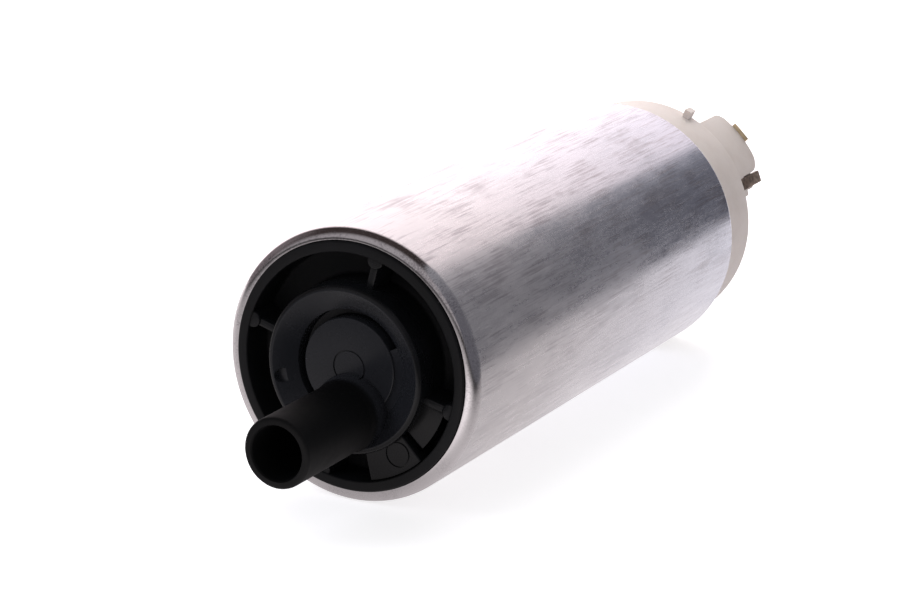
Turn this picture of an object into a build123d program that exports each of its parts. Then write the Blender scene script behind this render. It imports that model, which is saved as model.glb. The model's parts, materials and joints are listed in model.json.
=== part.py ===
from build123d import *
import os
from math import atan2, cos, degrees, hypot, pi, radians, sin, sqrt

os.makedirs("parts", exist_ok=True)

# An in-tank fuel pump, in millimetres. Its axis is Y: the inlet faces -Y, the outlet +Y, and +Z is up.
# The origin is on the axis, half way along the barrel. A station is a distance in from the barrel's inlet
# lip, so it is negative outside the inlet end. Angles run from +X towards +Z, as seen from the inlet end.

# Clearances
seat_gap = 0.05  # a fixed piece in its seat
running_gap = 0.06  # a shaft in its bushing
face_gap = 0.1  # between flat faces that slide on each other
flank_gap = 0.12  # between the flanks of the two rotors
rest_gap = 0.15  # between a moving piece and what it rests on
coil_gap = 0.3  # round a winding or a spring

# Barrel shell
shell_radius = 21.5
shell_length = 93.7
shell_wall = 1.2
lip_width = 1.97
lip_thickness = 1.2
crimp_radius = 1.5
rear_lip_width = 1.6
rear_crimp_radius = 0.8

# Inlet cover
cover_depth = 10.0
rim_height = 0.5
rim_wall = 1.63
rim_round = 0.25
trough_depth = 5.6
hub_radius = 13.2
crest_round = 0.8
hub_height = 2.2
dish_radius = 9.0
disc_radius = 7.7
disc_height = 0.3
groove_depth = 2.5
pocket_radius = 11.5
pocket_first = -83
pocket_last = 21
centre_mark_radius = 2.75
mark_width = 0.25
mark_depth = 0.2
ejector_radius = 1.1
ejector_place = 11.2
ejector_angle = 193
ejector_height = 1.1
web_width = 1.2
web_angles = (68, 159, 248, 338)
pad_radius = 1.25
pad_inset = 0.85
pad_height = 0.3
low_shelf_first = -51
low_shelf_last = -24
low_shelf_width = 2.8
low_shelf_depth = 0.8
shelf_first = -87
shelf_last = -55
boss_angle = -66
boss_inset = 1.9
boss_radius = 1.65

# Inlet spigot
spigot_x = 0.5
spigot_z = -6.9
spigot_radius = 5.5
spigot_wall = 1.3
spigot_reach = 22.5
spigot_tip_round = 0.5
flare_width = 0.5
flare_length = 3.0

# Seals between the barrel and the two end pieces
seal_groove_depth = 1.95
seal_groove_width = 2.2
seal_play = 0.075
inlet_seal_inset = 2.5
cap_seal_inset = 7.2

# Pump section
inlet_plate_thickness = 3.0
rotor_width = 8.0
outlet_plate_thickness = 4.0
inner_teeth = 6
lobe_circle = 11.5
lobe_radius = 3.6
offset_axis = 1.3
outer_rotor_wall = 2.58
port_margin = 0.25
port_half_angle = 70
pin_inset = 2.85
pin_radius = 1.5
pin_end_depth = 1.5

# Shaft, its bushings and the coupler
shaft_radius = 1.6
shaft_chamfer = 0.3
bushing_wall = 1.6
bushing_height = 5.5
bushing_boss_wall = 1.8
upper_bushing_height = 6.5
coupler_wall = 1.7
coupler_wing_height = 1.3
coupler_wing_width = 2.0
washer_width = 1.4
washer_thickness = 0.5

# Motor
cap_skirt_depth = 15.7
flux_ring_wall = 1.6
magnet_thickness = 4.5
magnet_half_angle = 62
magnet_margin = 6.0
clip_thickness = 0.6
clip_leg_angle = 1.5
clip_gap_angle = 1
air_gap = 0.8
lower_turns_room = 9.0
upper_turns_room = 8.5
slots = 8
slot_inner_radius = 5.8
tooth_tip_thickness = 1.7
slot_half_angle = 14
slot_mouth = 2.2
winding_inset_angle = 2
insulator_thickness = 0.5
end_turn_inset = 1.0
end_turn_height = 4.0
end_turn_round = 1.5
commutator_inset = 0.7
commutator_base_thickness = 3.5
commutator_hub_inset = 1.0
segment_thickness = 2.0
segment_width = 6.2
segment_slit = 0.6
hub_reach = 0.7

# Outlet cap
skirt_wall = 2.45
cap_floor_inset = 1.5
cap_floor_thickness = 5.5
collar_wall = 2.35
collar_height = 10.7
boss_wall = 1.4
shaft_room_inset = 0.6
window_width = 3.0
window_height = 2.4
tower_height = 19.5
tower_inset = 0.5
tower_first = 24
tower_last = 60
tower_low_round = 3.0
tower_high_round = 1.5
ledge_first = 14
ledge_drop = 6.8
key_first = 64
key_last = 67.5
key_reach = 1.35
key_length = 2.0
rib_angles = (94, 164, 274, 344)
rib_thickness = 1.2
guide_wall = 1.0
guide_lift = 1.4

# Brushes, chokes and terminals; the second of each stands half a turn round
brush_angle = 45
brush_depth = 5.0
brush_width = 4.4
brush_length = 11.0
brush_spring_radius = 1.6
brush_spring_wire = 0.18
brush_spring_pitch = 2.2
shunt_radius = 0.4
choke_hole_radius = 2.6
choke_outer_wall = 0.9
choke_inner_wall = 0.8
choke_play = 0.35
choke_winding = 0.6
choke_margin = 1.5
rod_play = 0.2
strip_width = 3.6
strip_thickness = 0.6
clip_overhang = 0.5
terminal_angle = 20.3
terminal_inset = 0.45
terminal_thickness = 0.8
terminal_width = 2.0
terminal_drop = 0.5
terminal_tip_chamfer = 0.25
terminal_foot_lift = 1.55

# Outlet nipple and check valve
nipple_radius = 4.0
nipple_wall = 1.1
nipple_base_wall = 1.0
nipple_base_height = 4.0
nipple_seat_depth = 0.8
nipple_height = 27.3
barb_count = 3
barb_pitch = 2.6
barb_depth = 0.45
seat_hole_radius = 1.8
poppet_room = 0.4
poppet_thickness = 1.2
valve_seal_thickness = 0.8
stem_radius = 0.8
valve_spring_radius = 1.5
valve_spring_wire = 0.18
valve_spring_pitch = 1.6
retainer_lift = 11.05
retainer_thickness = 1.2
retainer_holes = 6
retainer_hole_radius = 0.45

# Relief valve
relief_angle = 134
relief_place = 10.6
relief_wall = 1.4
relief_bore_radius = 2.6
relief_drop = 6.5
relief_lift = 5.0
relief_seat_height = 3.0
relief_hole_radius = 1.2
ball_radius = 1.8
relief_spring_radius = 1.5
relief_spring_wire = 0.2
relief_spring_pitch = 1.5
relief_plug_height = 2.0
relief_vent_radius = 0.8

# Radii that follow
shell_inner_radius = shell_radius - shell_wall
seated_radius = shell_inner_radius - seat_gap
seal_floor_radius = seated_radius - seal_groove_depth
lip_radius = shell_radius - lip_width
rear_lip_radius = shell_radius - rear_lip_width
rim_radius = lip_radius - seat_gap
rim_inner_radius = rim_radius - rim_wall
crest_radius = hub_radius - crest_round
spigot_bore_radius = spigot_radius - spigot_wall
rotor_root_radius = lobe_circle - lobe_radius - offset_axis
rotor_valley_radius = lobe_circle - lobe_radius + 2 * offset_axis
outer_rotor_radius = rotor_valley_radius + flank_gap + outer_rotor_wall
port_inner_radius = rotor_root_radius + port_margin
port_outer_radius = rotor_valley_radius - port_margin
pin_hole_radius = pin_radius + seat_gap
bushing_radius = shaft_radius + bushing_wall
coupler_radius = shaft_radius + coupler_wall
coupler_wing_reach = coupler_radius + coupler_wing_height
flux_ring_inner_radius = seated_radius - flux_ring_wall
magnet_outer_radius = flux_ring_inner_radius - seat_gap
magnet_inner_radius = magnet_outer_radius - magnet_thickness
core_radius = magnet_inner_radius - air_gap
slot_outer_radius = core_radius - tooth_tip_thickness
end_turn_radius = core_radius - end_turn_inset
commutator_radius = core_radius - commutator_inset
segment_inner_radius = commutator_radius - segment_width
brush_place = (commutator_radius + segment_inner_radius) / 2
collar_radius = rear_lip_radius - seat_gap
collar_inner_radius = collar_radius - collar_wall
tower_radius = collar_radius - tower_inset
choke_place = tower_radius - choke_outer_wall - choke_hole_radius
choke_radius = choke_hole_radius - choke_play
rod_radius = choke_radius - choke_winding - rod_play
tower_inner_radius = choke_place - choke_hole_radius - choke_inner_wall
terminal_place = tower_radius - terminal_inset
nipple_bore_radius = nipple_radius - nipple_wall
nipple_base_radius = nipple_radius + nipple_base_wall
poppet_radius = nipple_bore_radius - poppet_room

# Stations that follow
half_length = shell_length / 2
rotor_start = cover_depth + inlet_plate_thickness
rotor_end = rotor_start + rotor_width
rotor_face_start = rotor_start + face_gap
rotor_face_end = rotor_end - face_gap
pump_end = rotor_end + outlet_plate_thickness
lower_bushing_end = rotor_end + bushing_height
lower_washer_start = lower_bushing_end + face_gap
lower_washer_end = lower_washer_start + washer_thickness
motor_end = shell_length - cap_skirt_depth
base_start = motor_end - commutator_base_thickness
core_start = pump_end + lower_turns_room
core_end = base_start - upper_turns_room
segment_end = motor_end + segment_thickness
upper_washer_start = segment_end + hub_reach
boss_start = upper_washer_start + washer_thickness + face_gap
upper_bushing_end = boss_start + upper_bushing_height
shaft_end = upper_bushing_end + rest_gap
cap_shoulder = shell_length - lip_thickness - seat_gap
floor_start = cap_shoulder - cap_floor_inset
floor_end = floor_start + cap_floor_thickness
collar_end = shell_length + collar_height
tower_end = shell_length + tower_height
nipple_end = shell_length + nipple_height
nipple_start = floor_end - nipple_seat_depth
base_end = floor_end + nipple_base_height
brush_start = segment_end + rest_gap
brush_end = brush_start + brush_length
foot_start = floor_end + terminal_foot_lift
foot_end = foot_start + terminal_thickness
retainer_start = floor_end + retainer_lift
retainer_end = retainer_start + retainer_thickness
relief_start = floor_start - relief_drop
relief_end = floor_end + relief_lift


def across(station):
    # the plane square to the axis at a station; its local x and y are X and Z
    return Plane.XZ.offset(half_length - station)


def beside(radius, station):
    # a point of a turned profile: its distance from the axis, and where its station lies along Y
    return (radius, station - half_length)


def place(angle, radius):
    return (radius * cos(radians(angle)), radius * sin(radians(angle)))


def ring(start, end, outer, inner=0.0, centre=(0, 0), mode=Mode.ADD):
    with BuildSketch(across(start)) as face:
        with Locations(centre):
            Circle(outer)
            if inner > 0:
                Circle(inner, mode=Mode.SUBTRACT)
    extrude(face.sketch, amount=start - end, mode=mode)


def sector_outline(inner, outer, first, last, mode=Mode.ADD):
    with BuildLine() as outline:
        CenterArc((0, 0), outer, first, last - first)
        CenterArc((0, 0), inner, first, last - first)
        for angle in (first, last):
            Line(place(angle, inner), place(angle, outer))
    make_face(outline.edges(), mode=mode)


def sector(start, end, inner, outer, first, last, mode=Mode.ADD):
    with BuildSketch(across(start)) as face:
        sector_outline(inner, outer, first, last)
    extrude(face.sketch, amount=start - end, mode=mode)


def spoke(start, end, angle, inner, outer, width, mode=Mode.ADD):
    # a straight bar along a radius
    with BuildSketch(across(start)) as face:
        with PolarLocations((inner + outer) / 2, 1, start_angle=angle):
            Rectangle(outer - inner, width)
    extrude(face.sketch, amount=start - end, mode=mode)


def bar(start, end, first_point, last_point, width):
    # a straight bar between two points of the sketch
    span = Vector(*last_point) - Vector(*first_point)
    middle = Vector(*first_point) + span / 2
    turn = degrees(atan2(span.Y, span.X))
    with BuildSketch(across(start)) as face:
        with Locations(Location((middle.X, middle.Y), turn)):
            Rectangle(span.length, width)
    extrude(face.sketch, amount=start - end)


def coil_spring(start, end, radius, wire, pitch, centre):
    # an open coil round a line parallel to the axis, clear of both ends by its wire
    height = end - start - 2 * wire
    foot = (centre[0], start + wire - half_length, centre[1])
    with BuildLine() as path:
        Helix(pitch, height, radius, center=foot, direction=(0, 1, 0))
    with BuildSketch(Plane(origin=path.line @ 0, z_dir=path.line % 0)) as section:
        Circle(wire)
    sweep(section.sketch, path=path.line, is_frenet=True)


def seal_groove(station):
    # the groove of a rubber ring, round the piece that is being made
    first = station - seal_groove_width / 2
    last = station + seal_groove_width / 2
    ring(first, last, shell_radius, seal_floor_radius, mode=Mode.SUBTRACT)


def save(piece, name):
    piece.part.label = name
    export_step(piece.part, f"parts/{name}.step")


# Barrel: a drawn tube whose two ends are rolled over the end pieces
with BuildPart() as shell:
    with BuildSketch(Plane.XY):
        with BuildLine():
            rear_corner = beside(shell_radius, shell_length - rear_crimp_radius)
            rear_edge = beside(shell_radius - rear_crimp_radius, shell_length)
            front_corner = beside(shell_radius, crimp_radius)
            front_edge = beside(shell_radius - crimp_radius, 0)
            Line(front_corner, rear_corner)
            RadiusArc(rear_corner, rear_edge, -rear_crimp_radius)
            Polyline(
                rear_edge,
                beside(rear_lip_radius, shell_length),
                beside(rear_lip_radius, shell_length - lip_thickness),
                beside(shell_inner_radius, shell_length - lip_thickness),
                beside(shell_inner_radius, lip_thickness),
                beside(lip_radius, lip_thickness),
                beside(lip_radius, 0),
                front_edge,
            )
            RadiusArc(front_edge, front_corner, -crimp_radius)
        make_face()
    revolve(axis=Axis.Y)
save(shell, "barrel_shell")

# Inlet cover: a moulding with a ring trough round a dished hub, and a spigot beside the axis
with BuildPart() as cover:
    with BuildSketch(Plane.XY):
        with BuildLine():
            shoulder = lip_thickness + seat_gap
            crest_start = beside(hub_radius, crest_radius - hub_radius)
            crest_top = beside(crest_radius, -hub_height)
            Line(crest_start, beside(hub_radius, trough_depth))
            Polyline(
                beside(hub_radius, trough_depth),
                beside(rim_inner_radius, trough_depth),
                beside(rim_inner_radius, rim_round - rim_height),
                beside(rim_inner_radius + rim_round, -rim_height),
                beside(rim_radius - rim_round, -rim_height),
                beside(rim_radius, rim_round - rim_height),
                beside(rim_radius, shoulder),
                beside(seated_radius, shoulder),
                beside(seated_radius, cover_depth),
                beside(0, cover_depth),
                beside(0, -disc_height),
                beside(disc_radius, -disc_height),
                beside(dish_radius, 0),
                crest_top,
            )
            RadiusArc(crest_top, crest_start, crest_top[1] - crest_start[1])
        make_face()
    revolve(axis=Axis.Y)
    groove_angles = (pocket_last, pocket_first + 360)
    sector(-disc_height, groove_depth, disc_radius, dish_radius, *groove_angles, mode=Mode.SUBTRACT)
    sector(-hub_height, 0, dish_radius, pocket_radius, pocket_first, pocket_last, mode=Mode.SUBTRACT)
    mark_end = mark_depth - disc_height
    ring(-disc_height, mark_end, centre_mark_radius, centre_mark_radius - mark_width, mode=Mode.SUBTRACT)
    ejector = place(ejector_angle, ejector_place)
    ring(-hub_height, -ejector_height, ejector_radius, centre=ejector, mode=Mode.SUBTRACT)
    for angle in web_angles:
        spoke(0, trough_depth, angle, crest_radius, rim_inner_radius, web_width)
        ring(-pad_height, trough_depth, pad_radius, centre=place(angle, rim_inner_radius - pad_inset))
    low_shelf_radius = hub_radius + low_shelf_width
    sector(low_shelf_depth, trough_depth, crest_radius, low_shelf_radius, low_shelf_first, low_shelf_last)
    sector(0, trough_depth, crest_radius, rim_inner_radius, shelf_first, shelf_last)
    shelf_boss = place(boss_angle, hub_radius + boss_inset)
    ring(0, mark_depth, boss_radius, boss_radius - mark_width, centre=shelf_boss, mode=Mode.SUBTRACT)
    spigot_centre = (spigot_x, spigot_z)
    ring(-spigot_reach, 0, spigot_radius, centre=spigot_centre)
    spigot_tip = cover.edges().filter_by(GeomType.CIRCLE).sort_by(Axis.Y)[0]
    chamfer(spigot_tip, spigot_tip_round)
    with BuildSketch(across(-hub_height / 2)):
        with Locations(spigot_centre):
            Circle(spigot_radius + flare_width)
    with BuildSketch(across(-hub_height / 2 - flare_length)):
        with Locations(spigot_centre):
            Circle(spigot_radius)
    loft()
    ring(-spigot_reach, cover_depth, spigot_bore_radius, centre=spigot_centre, mode=Mode.SUBTRACT)
    seal_groove(cover_depth - inlet_seal_inset)
save(cover, "inlet_cover")


def build_seal(station, name):
    # a rubber ring that fills its groove between the moulding and the barrel
    with BuildPart() as seal:
        with BuildSketch(Plane.XY):
            with Locations(beside(seated_radius - seal_groove_depth / 2, station)):
                Circle(seal_groove_depth / 2 - seal_play)
        revolve(axis=Axis.Y)
    save(seal, name)


build_seal(cover_depth - inlet_seal_inset, "inlet_seal")

# Pump section: two plates and a ring between them make the chamber for the two rotors
pin_places = [place(angle, seated_radius - pin_inset) for angle in (90, 270)]

with BuildPart() as inlet_plate:
    ring(cover_depth, rotor_start, seated_radius, shaft_radius + running_gap)
    for pin in pin_places:
        ring(rotor_start - pin_end_depth, rotor_start, pin_hole_radius, centre=pin, mode=Mode.SUBTRACT)
    inlet_port = (port_inner_radius, port_outer_radius, 270 - port_half_angle, 270 + port_half_angle)
    sector(cover_depth, rotor_start, *inlet_port, mode=Mode.SUBTRACT)
save(inlet_plate, "inlet_plate")

with BuildPart() as eccentric_ring:
    ring(rotor_start, rotor_end, seated_radius)
    chamber_radius = outer_rotor_radius + running_gap
    ring(rotor_start, rotor_end, chamber_radius, centre=(offset_axis, 0), mode=Mode.SUBTRACT)
    for pin in pin_places:
        ring(rotor_start, rotor_end, pin_hole_radius, centre=pin, mode=Mode.SUBTRACT)
save(eccentric_ring, "eccentric_ring")

with BuildPart() as outlet_plate:
    ring(rotor_end, pump_end, seated_radius)
    ring(pump_end, lower_bushing_end, bushing_radius + bushing_boss_wall)
    ring(rotor_end, lower_bushing_end, bushing_radius + seat_gap, mode=Mode.SUBTRACT)
    for pin in pin_places:
        ring(rotor_end, rotor_end + pin_end_depth, pin_hole_radius, centre=pin, mode=Mode.SUBTRACT)
    outlet_port = (port_inner_radius, port_outer_radius, 90 - port_half_angle, 90 + port_half_angle)
    sector(rotor_end, pump_end, *outlet_port, mode=Mode.SUBTRACT)
save(outlet_plate, "outlet_plate")

with BuildPart() as locating_pins:
    for pin in pin_places:
        pin_reach = pin_end_depth - face_gap
        ring(rotor_start - pin_reach, rotor_end + pin_reach, pin_radius, centre=pin)
save(locating_pins, "locating_pins")

# The rotors: the outer one has one lobe more than the inner one has teeth, and turns about the offset axis
outer_lobes = inner_teeth + 1


def inner_rotor_points(steps_per_tooth=16):
    # the path of the outer lobes' centres seen from the inner rotor, moved in by the lobe's radius
    reach = lobe_radius + flank_gap
    count = inner_teeth * steps_per_tooth
    points = []
    for step in range(count):
        turn = 2 * pi * step / count
        path_x = lobe_circle * cos(turn) + offset_axis * cos(outer_lobes * turn)
        path_y = lobe_circle * sin(turn) + offset_axis * sin(outer_lobes * turn)
        along_x = -lobe_circle * sin(turn) - outer_lobes * offset_axis * sin(outer_lobes * turn)
        along_y = lobe_circle * cos(turn) + outer_lobes * offset_axis * cos(outer_lobes * turn)
        length = hypot(along_x, along_y)
        points.append((path_x - reach * along_y / length, path_y + reach * along_x / length))
    return points


with BuildPart() as inner_rotor:
    with BuildSketch(across(rotor_face_start)):
        with BuildLine():
            Spline(*inner_rotor_points(), periodic=True)
        make_face()
        Circle(coupler_radius + seat_gap, mode=Mode.SUBTRACT)
        wing_slot_reach = 2 * (coupler_wing_reach + seat_gap)
        Rectangle(wing_slot_reach, coupler_wing_width + 2 * seat_gap, mode=Mode.SUBTRACT)
    extrude(amount=rotor_face_start - rotor_face_end)
save(inner_rotor, "inner_rotor")

with BuildPart() as outer_rotor:
    with BuildSketch(across(rotor_face_start)):
        with Locations((offset_axis, 0)):
            Circle(outer_rotor_radius)
            Circle(rotor_valley_radius + flank_gap, mode=Mode.SUBTRACT)
            with PolarLocations(lobe_circle, outer_lobes):
                Circle(lobe_radius)
            Circle(outer_rotor_radius, mode=Mode.INTERSECT)
    extrude(amount=rotor_face_start - rotor_face_end)
save(outer_rotor, "outer_rotor")

# The shaft and what turns with it
shaft_start = cover_depth + face_gap

with BuildPart() as shaft:
    ring(shaft_start, shaft_end, shaft_radius)
    chamfer(shaft.edges().filter_by(GeomType.CIRCLE), shaft_chamfer)
save(shaft, "armature_shaft")

with BuildPart() as coupler:
    with BuildSketch(across(rotor_face_start)):
        Circle(coupler_radius)
        Rectangle(2 * coupler_wing_reach, coupler_wing_width)
        Circle(shaft_radius + seat_gap, mode=Mode.SUBTRACT)
    extrude(amount=rotor_face_start - rotor_face_end)
save(coupler, "drive_coupler")


def build_bushing(start, end, name):
    with BuildPart() as bushing:
        ring(start, end, bushing_radius, shaft_radius + running_gap)
    save(bushing, name)


def build_washer(start, name):
    with BuildPart() as washer:
        ring(start, start + washer_thickness, shaft_radius + washer_width, shaft_radius + seat_gap)
    save(washer, name)


build_bushing(rotor_end, lower_bushing_end, "lower_bushing")
build_bushing(boss_start, upper_bushing_end, "upper_bushing")
build_washer(lower_washer_start, "lower_thrust_washer")
build_washer(upper_washer_start, "upper_thrust_washer")

slot_angles = [360 * index / slots for index in range(slots)]


def core_outline():
    # the laminations' outline, which the insulators share
    Circle(core_radius)
    Circle(shaft_radius + seat_gap, mode=Mode.SUBTRACT)
    for angle in slot_angles:
        first = angle - slot_half_angle
        last = angle + slot_half_angle
        sector_outline(slot_inner_radius, slot_outer_radius, first, last, mode=Mode.SUBTRACT)
    mouth_length = core_radius - slot_inner_radius
    with PolarLocations(core_radius - mouth_length / 2, slots):
        Rectangle(mouth_length, slot_mouth, mode=Mode.SUBTRACT)


with BuildPart() as core:
    with BuildSketch(across(core_start)):
        core_outline()
    extrude(amount=core_start - core_end)
save(core, "armature_core")


def build_insulator(sleeve_start, sleeve_stop, disc_start, name):
    # a moulded sheet against the laminations, on a sleeve round the shaft
    with BuildPart() as insulator:
        with BuildSketch(across(disc_start)):
            core_outline()
        extrude(amount=-insulator_thickness)
        ring(sleeve_start, sleeve_stop, bushing_radius)
        ring(sleeve_start, sleeve_stop, shaft_radius + seat_gap, mode=Mode.SUBTRACT)
    save(insulator, name)


build_insulator(lower_washer_end, core_start, core_start - insulator_thickness, "lower_insulator")
build_insulator(core_end, base_start, core_end, "upper_insulator")

# Windings: filled slots that join a rounded bundle of end turns at each end of the core
with BuildPart() as windings:
    lower_turns_start = core_start - insulator_thickness - coil_gap - end_turn_height
    lower_turns_end = core_start - insulator_thickness - coil_gap
    upper_turns_start = core_end + insulator_thickness + coil_gap
    upper_turns_end = base_start - coil_gap
    bundles = ((lower_turns_start, lower_turns_end), (upper_turns_start, upper_turns_end))
    for bundle_start, bundle_end in bundles:
        with BuildSketch(Plane.XY):
            bundle_inner_radius = bushing_radius + coil_gap
            bundle_width = end_turn_radius - bundle_inner_radius
            middle = (bundle_start + bundle_end) / 2
            with Locations(beside(bundle_inner_radius + bundle_width / 2, middle)):
                RectangleRounded(bundle_width, bundle_end - bundle_start, end_turn_round)
        revolve(axis=Axis.Y)
    for angle in slot_angles:
        sector(
            lower_turns_end - end_turn_round,
            upper_turns_start + end_turn_round,
            slot_inner_radius + coil_gap,
            slot_outer_radius - coil_gap,
            angle - slot_half_angle + winding_inset_angle,
            angle + slot_half_angle - winding_inset_angle,
        )
save(windings, "windings")

# Commutator: copper segments with hooks, on a moulded base; the brushes press on its end face
with BuildPart() as commutator_base:
    ring(base_start, motor_end, commutator_radius)
    ring(motor_end, upper_washer_start, segment_inner_radius - commutator_hub_inset)
    ring(base_start, upper_washer_start, shaft_radius + seat_gap, mode=Mode.SUBTRACT)
save(commutator_base, "commutator_base")

with BuildPart() as segments:
    ring(motor_end, segment_end, commutator_radius, segment_inner_radius)
    for angle in slot_angles:
        slit_reach = (segment_inner_radius / 2, core_radius)
        spoke(motor_end, segment_end, angle, *slit_reach, segment_slit, mode=Mode.SUBTRACT)
save(segments, "commutator_segments")

# The field: a steel ring in the barrel, with two magnets held apart by spring clips
with BuildPart() as flux_ring:
    ring(pump_end, motor_end, seated_radius, flux_ring_inner_radius)
save(flux_ring, "flux_ring")

magnet_start = pump_end + magnet_margin
magnet_stop = motor_end - magnet_margin
for number, middle_angle in enumerate((90, 270), start=1):
    with BuildPart() as magnet:
        first = middle_angle - magnet_half_angle
        last = middle_angle + magnet_half_angle
        sector(magnet_start, magnet_stop, magnet_inner_radius, magnet_outer_radius, first, last)
    save(magnet, f"magnet_{number}")

with BuildPart() as magnet_clips:
    clip_half_angle = 90 - magnet_half_angle - clip_gap_angle
    clip_back = magnet_outer_radius - clip_thickness
    clip_leg = (magnet_inner_radius, magnet_outer_radius)
    for middle_angle in (0, 180):
        first = middle_angle - clip_half_angle
        last = middle_angle + clip_half_angle
        sector(magnet_start, magnet_stop, clip_back, magnet_outer_radius, first, last)
        sector(magnet_start, magnet_stop, *clip_leg, first, first + clip_leg_angle)
        sector(magnet_start, magnet_stop, *clip_leg, last - clip_leg_angle, last)
save(magnet_clips, "magnet_clips")

# Terminals: a blade beside each tower, with a foot that runs in to the choke's lower end
half_turns = (0, 180)
terminals = []
for turn, name in zip(half_turns, ("terminal_positive", "terminal_negative")):
    blade_angle = terminal_angle + turn
    blade_faces = (terminal_place - terminal_thickness / 2, terminal_place + terminal_thickness / 2)
    with BuildPart() as terminal:
        spoke(foot_start, tower_end - terminal_drop, blade_angle, *blade_faces, terminal_width)
        blade_tip = terminal.faces().sort_by(Axis.Y)[-1].edges()
        chamfer(blade_tip, terminal_tip_chamfer)
        choke_spot = place(brush_angle + turn, choke_place)
        bar(foot_start, foot_end, place(blade_angle, terminal_place), choke_spot, terminal_width)
    terminals.append(terminal.part)
    save(terminal, name)

# Outlet cap: its skirt seats in the barrel, and its floor carries the towers, the nipple and the relief valve
relief_centre = place(relief_angle, relief_place)
guide_inner = brush_place - brush_depth / 2 - seat_gap
guide_outer = brush_place + brush_depth / 2 + seat_gap
guide_width = brush_width + 2 * seat_gap
guide_start = segment_end + guide_lift
cap_boss_radius = bushing_radius + boss_wall


towers = []
for turn in half_turns:
    # a tower with rounded shoulders
    tower_angles = (tower_first + turn, tower_last + turn)
    with BuildPart() as tower:
        sector(floor_end, tower_end, tower_inner_radius, tower_radius, *tower_angles)
        for side_angle, round_radius in zip(tower_angles, (tower_low_round, tower_high_round)):
            side = Vector(cos(radians(side_angle)), 0, sin(radians(side_angle)))
            end_lines = tower.edges().filter_by(GeomType.LINE).group_by(Axis.Y)[-1]
            fillet(end_lines.sort_by(lambda line: line.center().dot(side))[-1], round_radius)
    towers.append(tower.part)


def dress_tower(turn):
    # the block round the brush, which reaches through the floor, the ledge that the blade stands on, and the key
    # that turns the pump the right way round in its bracket
    block_width = guide_width + 2 * guide_wall
    block_reach = (guide_inner - guide_wall, tower_inner_radius + choke_inner_wall)
    spoke(guide_start, tower_end, brush_angle + turn, *block_reach, block_width)
    ledge_angles = (ledge_first + turn, tower_first + turn)
    sector(floor_end, tower_end - ledge_drop, tower_inner_radius, tower_radius, *ledge_angles)
    key_angles = (key_first + turn, key_last + turn)
    sector(collar_end - key_length, collar_end, collar_inner_radius, collar_radius + key_reach, *key_angles)


def hollow_tower(turn):
    # the holes of the brush and the choke
    guide_faces = (guide_inner, guide_outer, guide_width)
    spoke(guide_start, tower_end, brush_angle + turn, *guide_faces, mode=Mode.SUBTRACT)
    choke_spot = place(brush_angle + turn, choke_place)
    ring(foot_end, tower_end, choke_hole_radius, centre=choke_spot, mode=Mode.SUBTRACT)


def cut_barb(index):
    # one saw-tooth groove of the nipple, counted from its tip
    start = nipple_end - barb_depth - (index + 1) * barb_pitch
    with BuildSketch(Plane.XY) as face:
        with BuildLine() as outline:
            Polyline(
                beside(nipple_radius, start),
                beside(nipple_radius - barb_depth, start),
                beside(nipple_radius, start + barb_pitch - barb_depth),
                close=True,
            )
        make_face(outline.edges())
    revolve(face.sketch, axis=Axis.Y, mode=Mode.SUBTRACT)


with BuildPart() as cap:
    ring(motor_end, cap_shoulder, seated_radius, seated_radius - skirt_wall)
    ring(floor_start, cap_shoulder, seated_radius)
    ring(cap_shoulder, floor_end, collar_radius)
    ring(floor_end, collar_end, collar_radius, collar_inner_radius)
    ring(boss_start, floor_start, cap_boss_radius)
    ring(relief_start, relief_end, relief_bore_radius + relief_wall, centre=relief_centre)
    add(towers)
    for turn in half_turns:
        dress_tower(turn)
    ring(floor_end, base_end, nipple_base_radius + seat_gap, mode=Mode.SUBTRACT)
    ring(base_end, tower_end, nipple_radius + seat_gap, mode=Mode.SUBTRACT)
    rib_reach = (nipple_base_radius + seat_gap, collar_inner_radius)
    for angle in rib_angles:
        spoke(floor_end, base_end, angle, *rib_reach, rib_thickness)
    for turn in half_turns:
        hollow_tower(turn)
    add(terminals, mode=Mode.SUBTRACT)
    ring(boss_start, upper_bushing_end, bushing_radius + seat_gap, mode=Mode.SUBTRACT)
    shaft_room_radius = bushing_radius - shaft_room_inset
    ring(upper_bushing_end, floor_end - boss_wall, shaft_room_radius, mode=Mode.SUBTRACT)
    window_end = upper_bushing_end + window_height
    window_reach = (-cap_boss_radius, cap_boss_radius)
    spoke(upper_bushing_end, window_end, relief_angle, *window_reach, window_width, mode=Mode.SUBTRACT)
    nipple_seat = (nipple_base_radius + seat_gap, nipple_bore_radius - seat_gap)
    ring(nipple_start, floor_end, *nipple_seat, mode=Mode.SUBTRACT)
    ring(floor_end - boss_wall, floor_end, seat_hole_radius, mode=Mode.SUBTRACT)
    ring(relief_start, relief_end, relief_bore_radius, centre=relief_centre, mode=Mode.SUBTRACT)
    seal_groove(shell_length - cap_seal_inset)
save(cap, "outlet_cap")

build_seal(shell_length - cap_seal_inset, "cap_seal")

# Outlet nipple: a barbed tube whose base is pressed into the cap's floor, round the seat of the check valve
with BuildPart() as nipple:
    ring(nipple_start, base_end, nipple_base_radius)
    ring(base_end, nipple_end, nipple_radius)
    nipple_tip = nipple.edges().filter_by(GeomType.CIRCLE).sort_by(Axis.Y)[-1]
    chamfer(nipple_tip, barb_depth)
    for index in range(barb_count):
        cut_barb(index)
    ring(nipple_start, nipple_end, nipple_bore_radius, mode=Mode.SUBTRACT)
save(nipple, "outlet_nipple")

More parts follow.
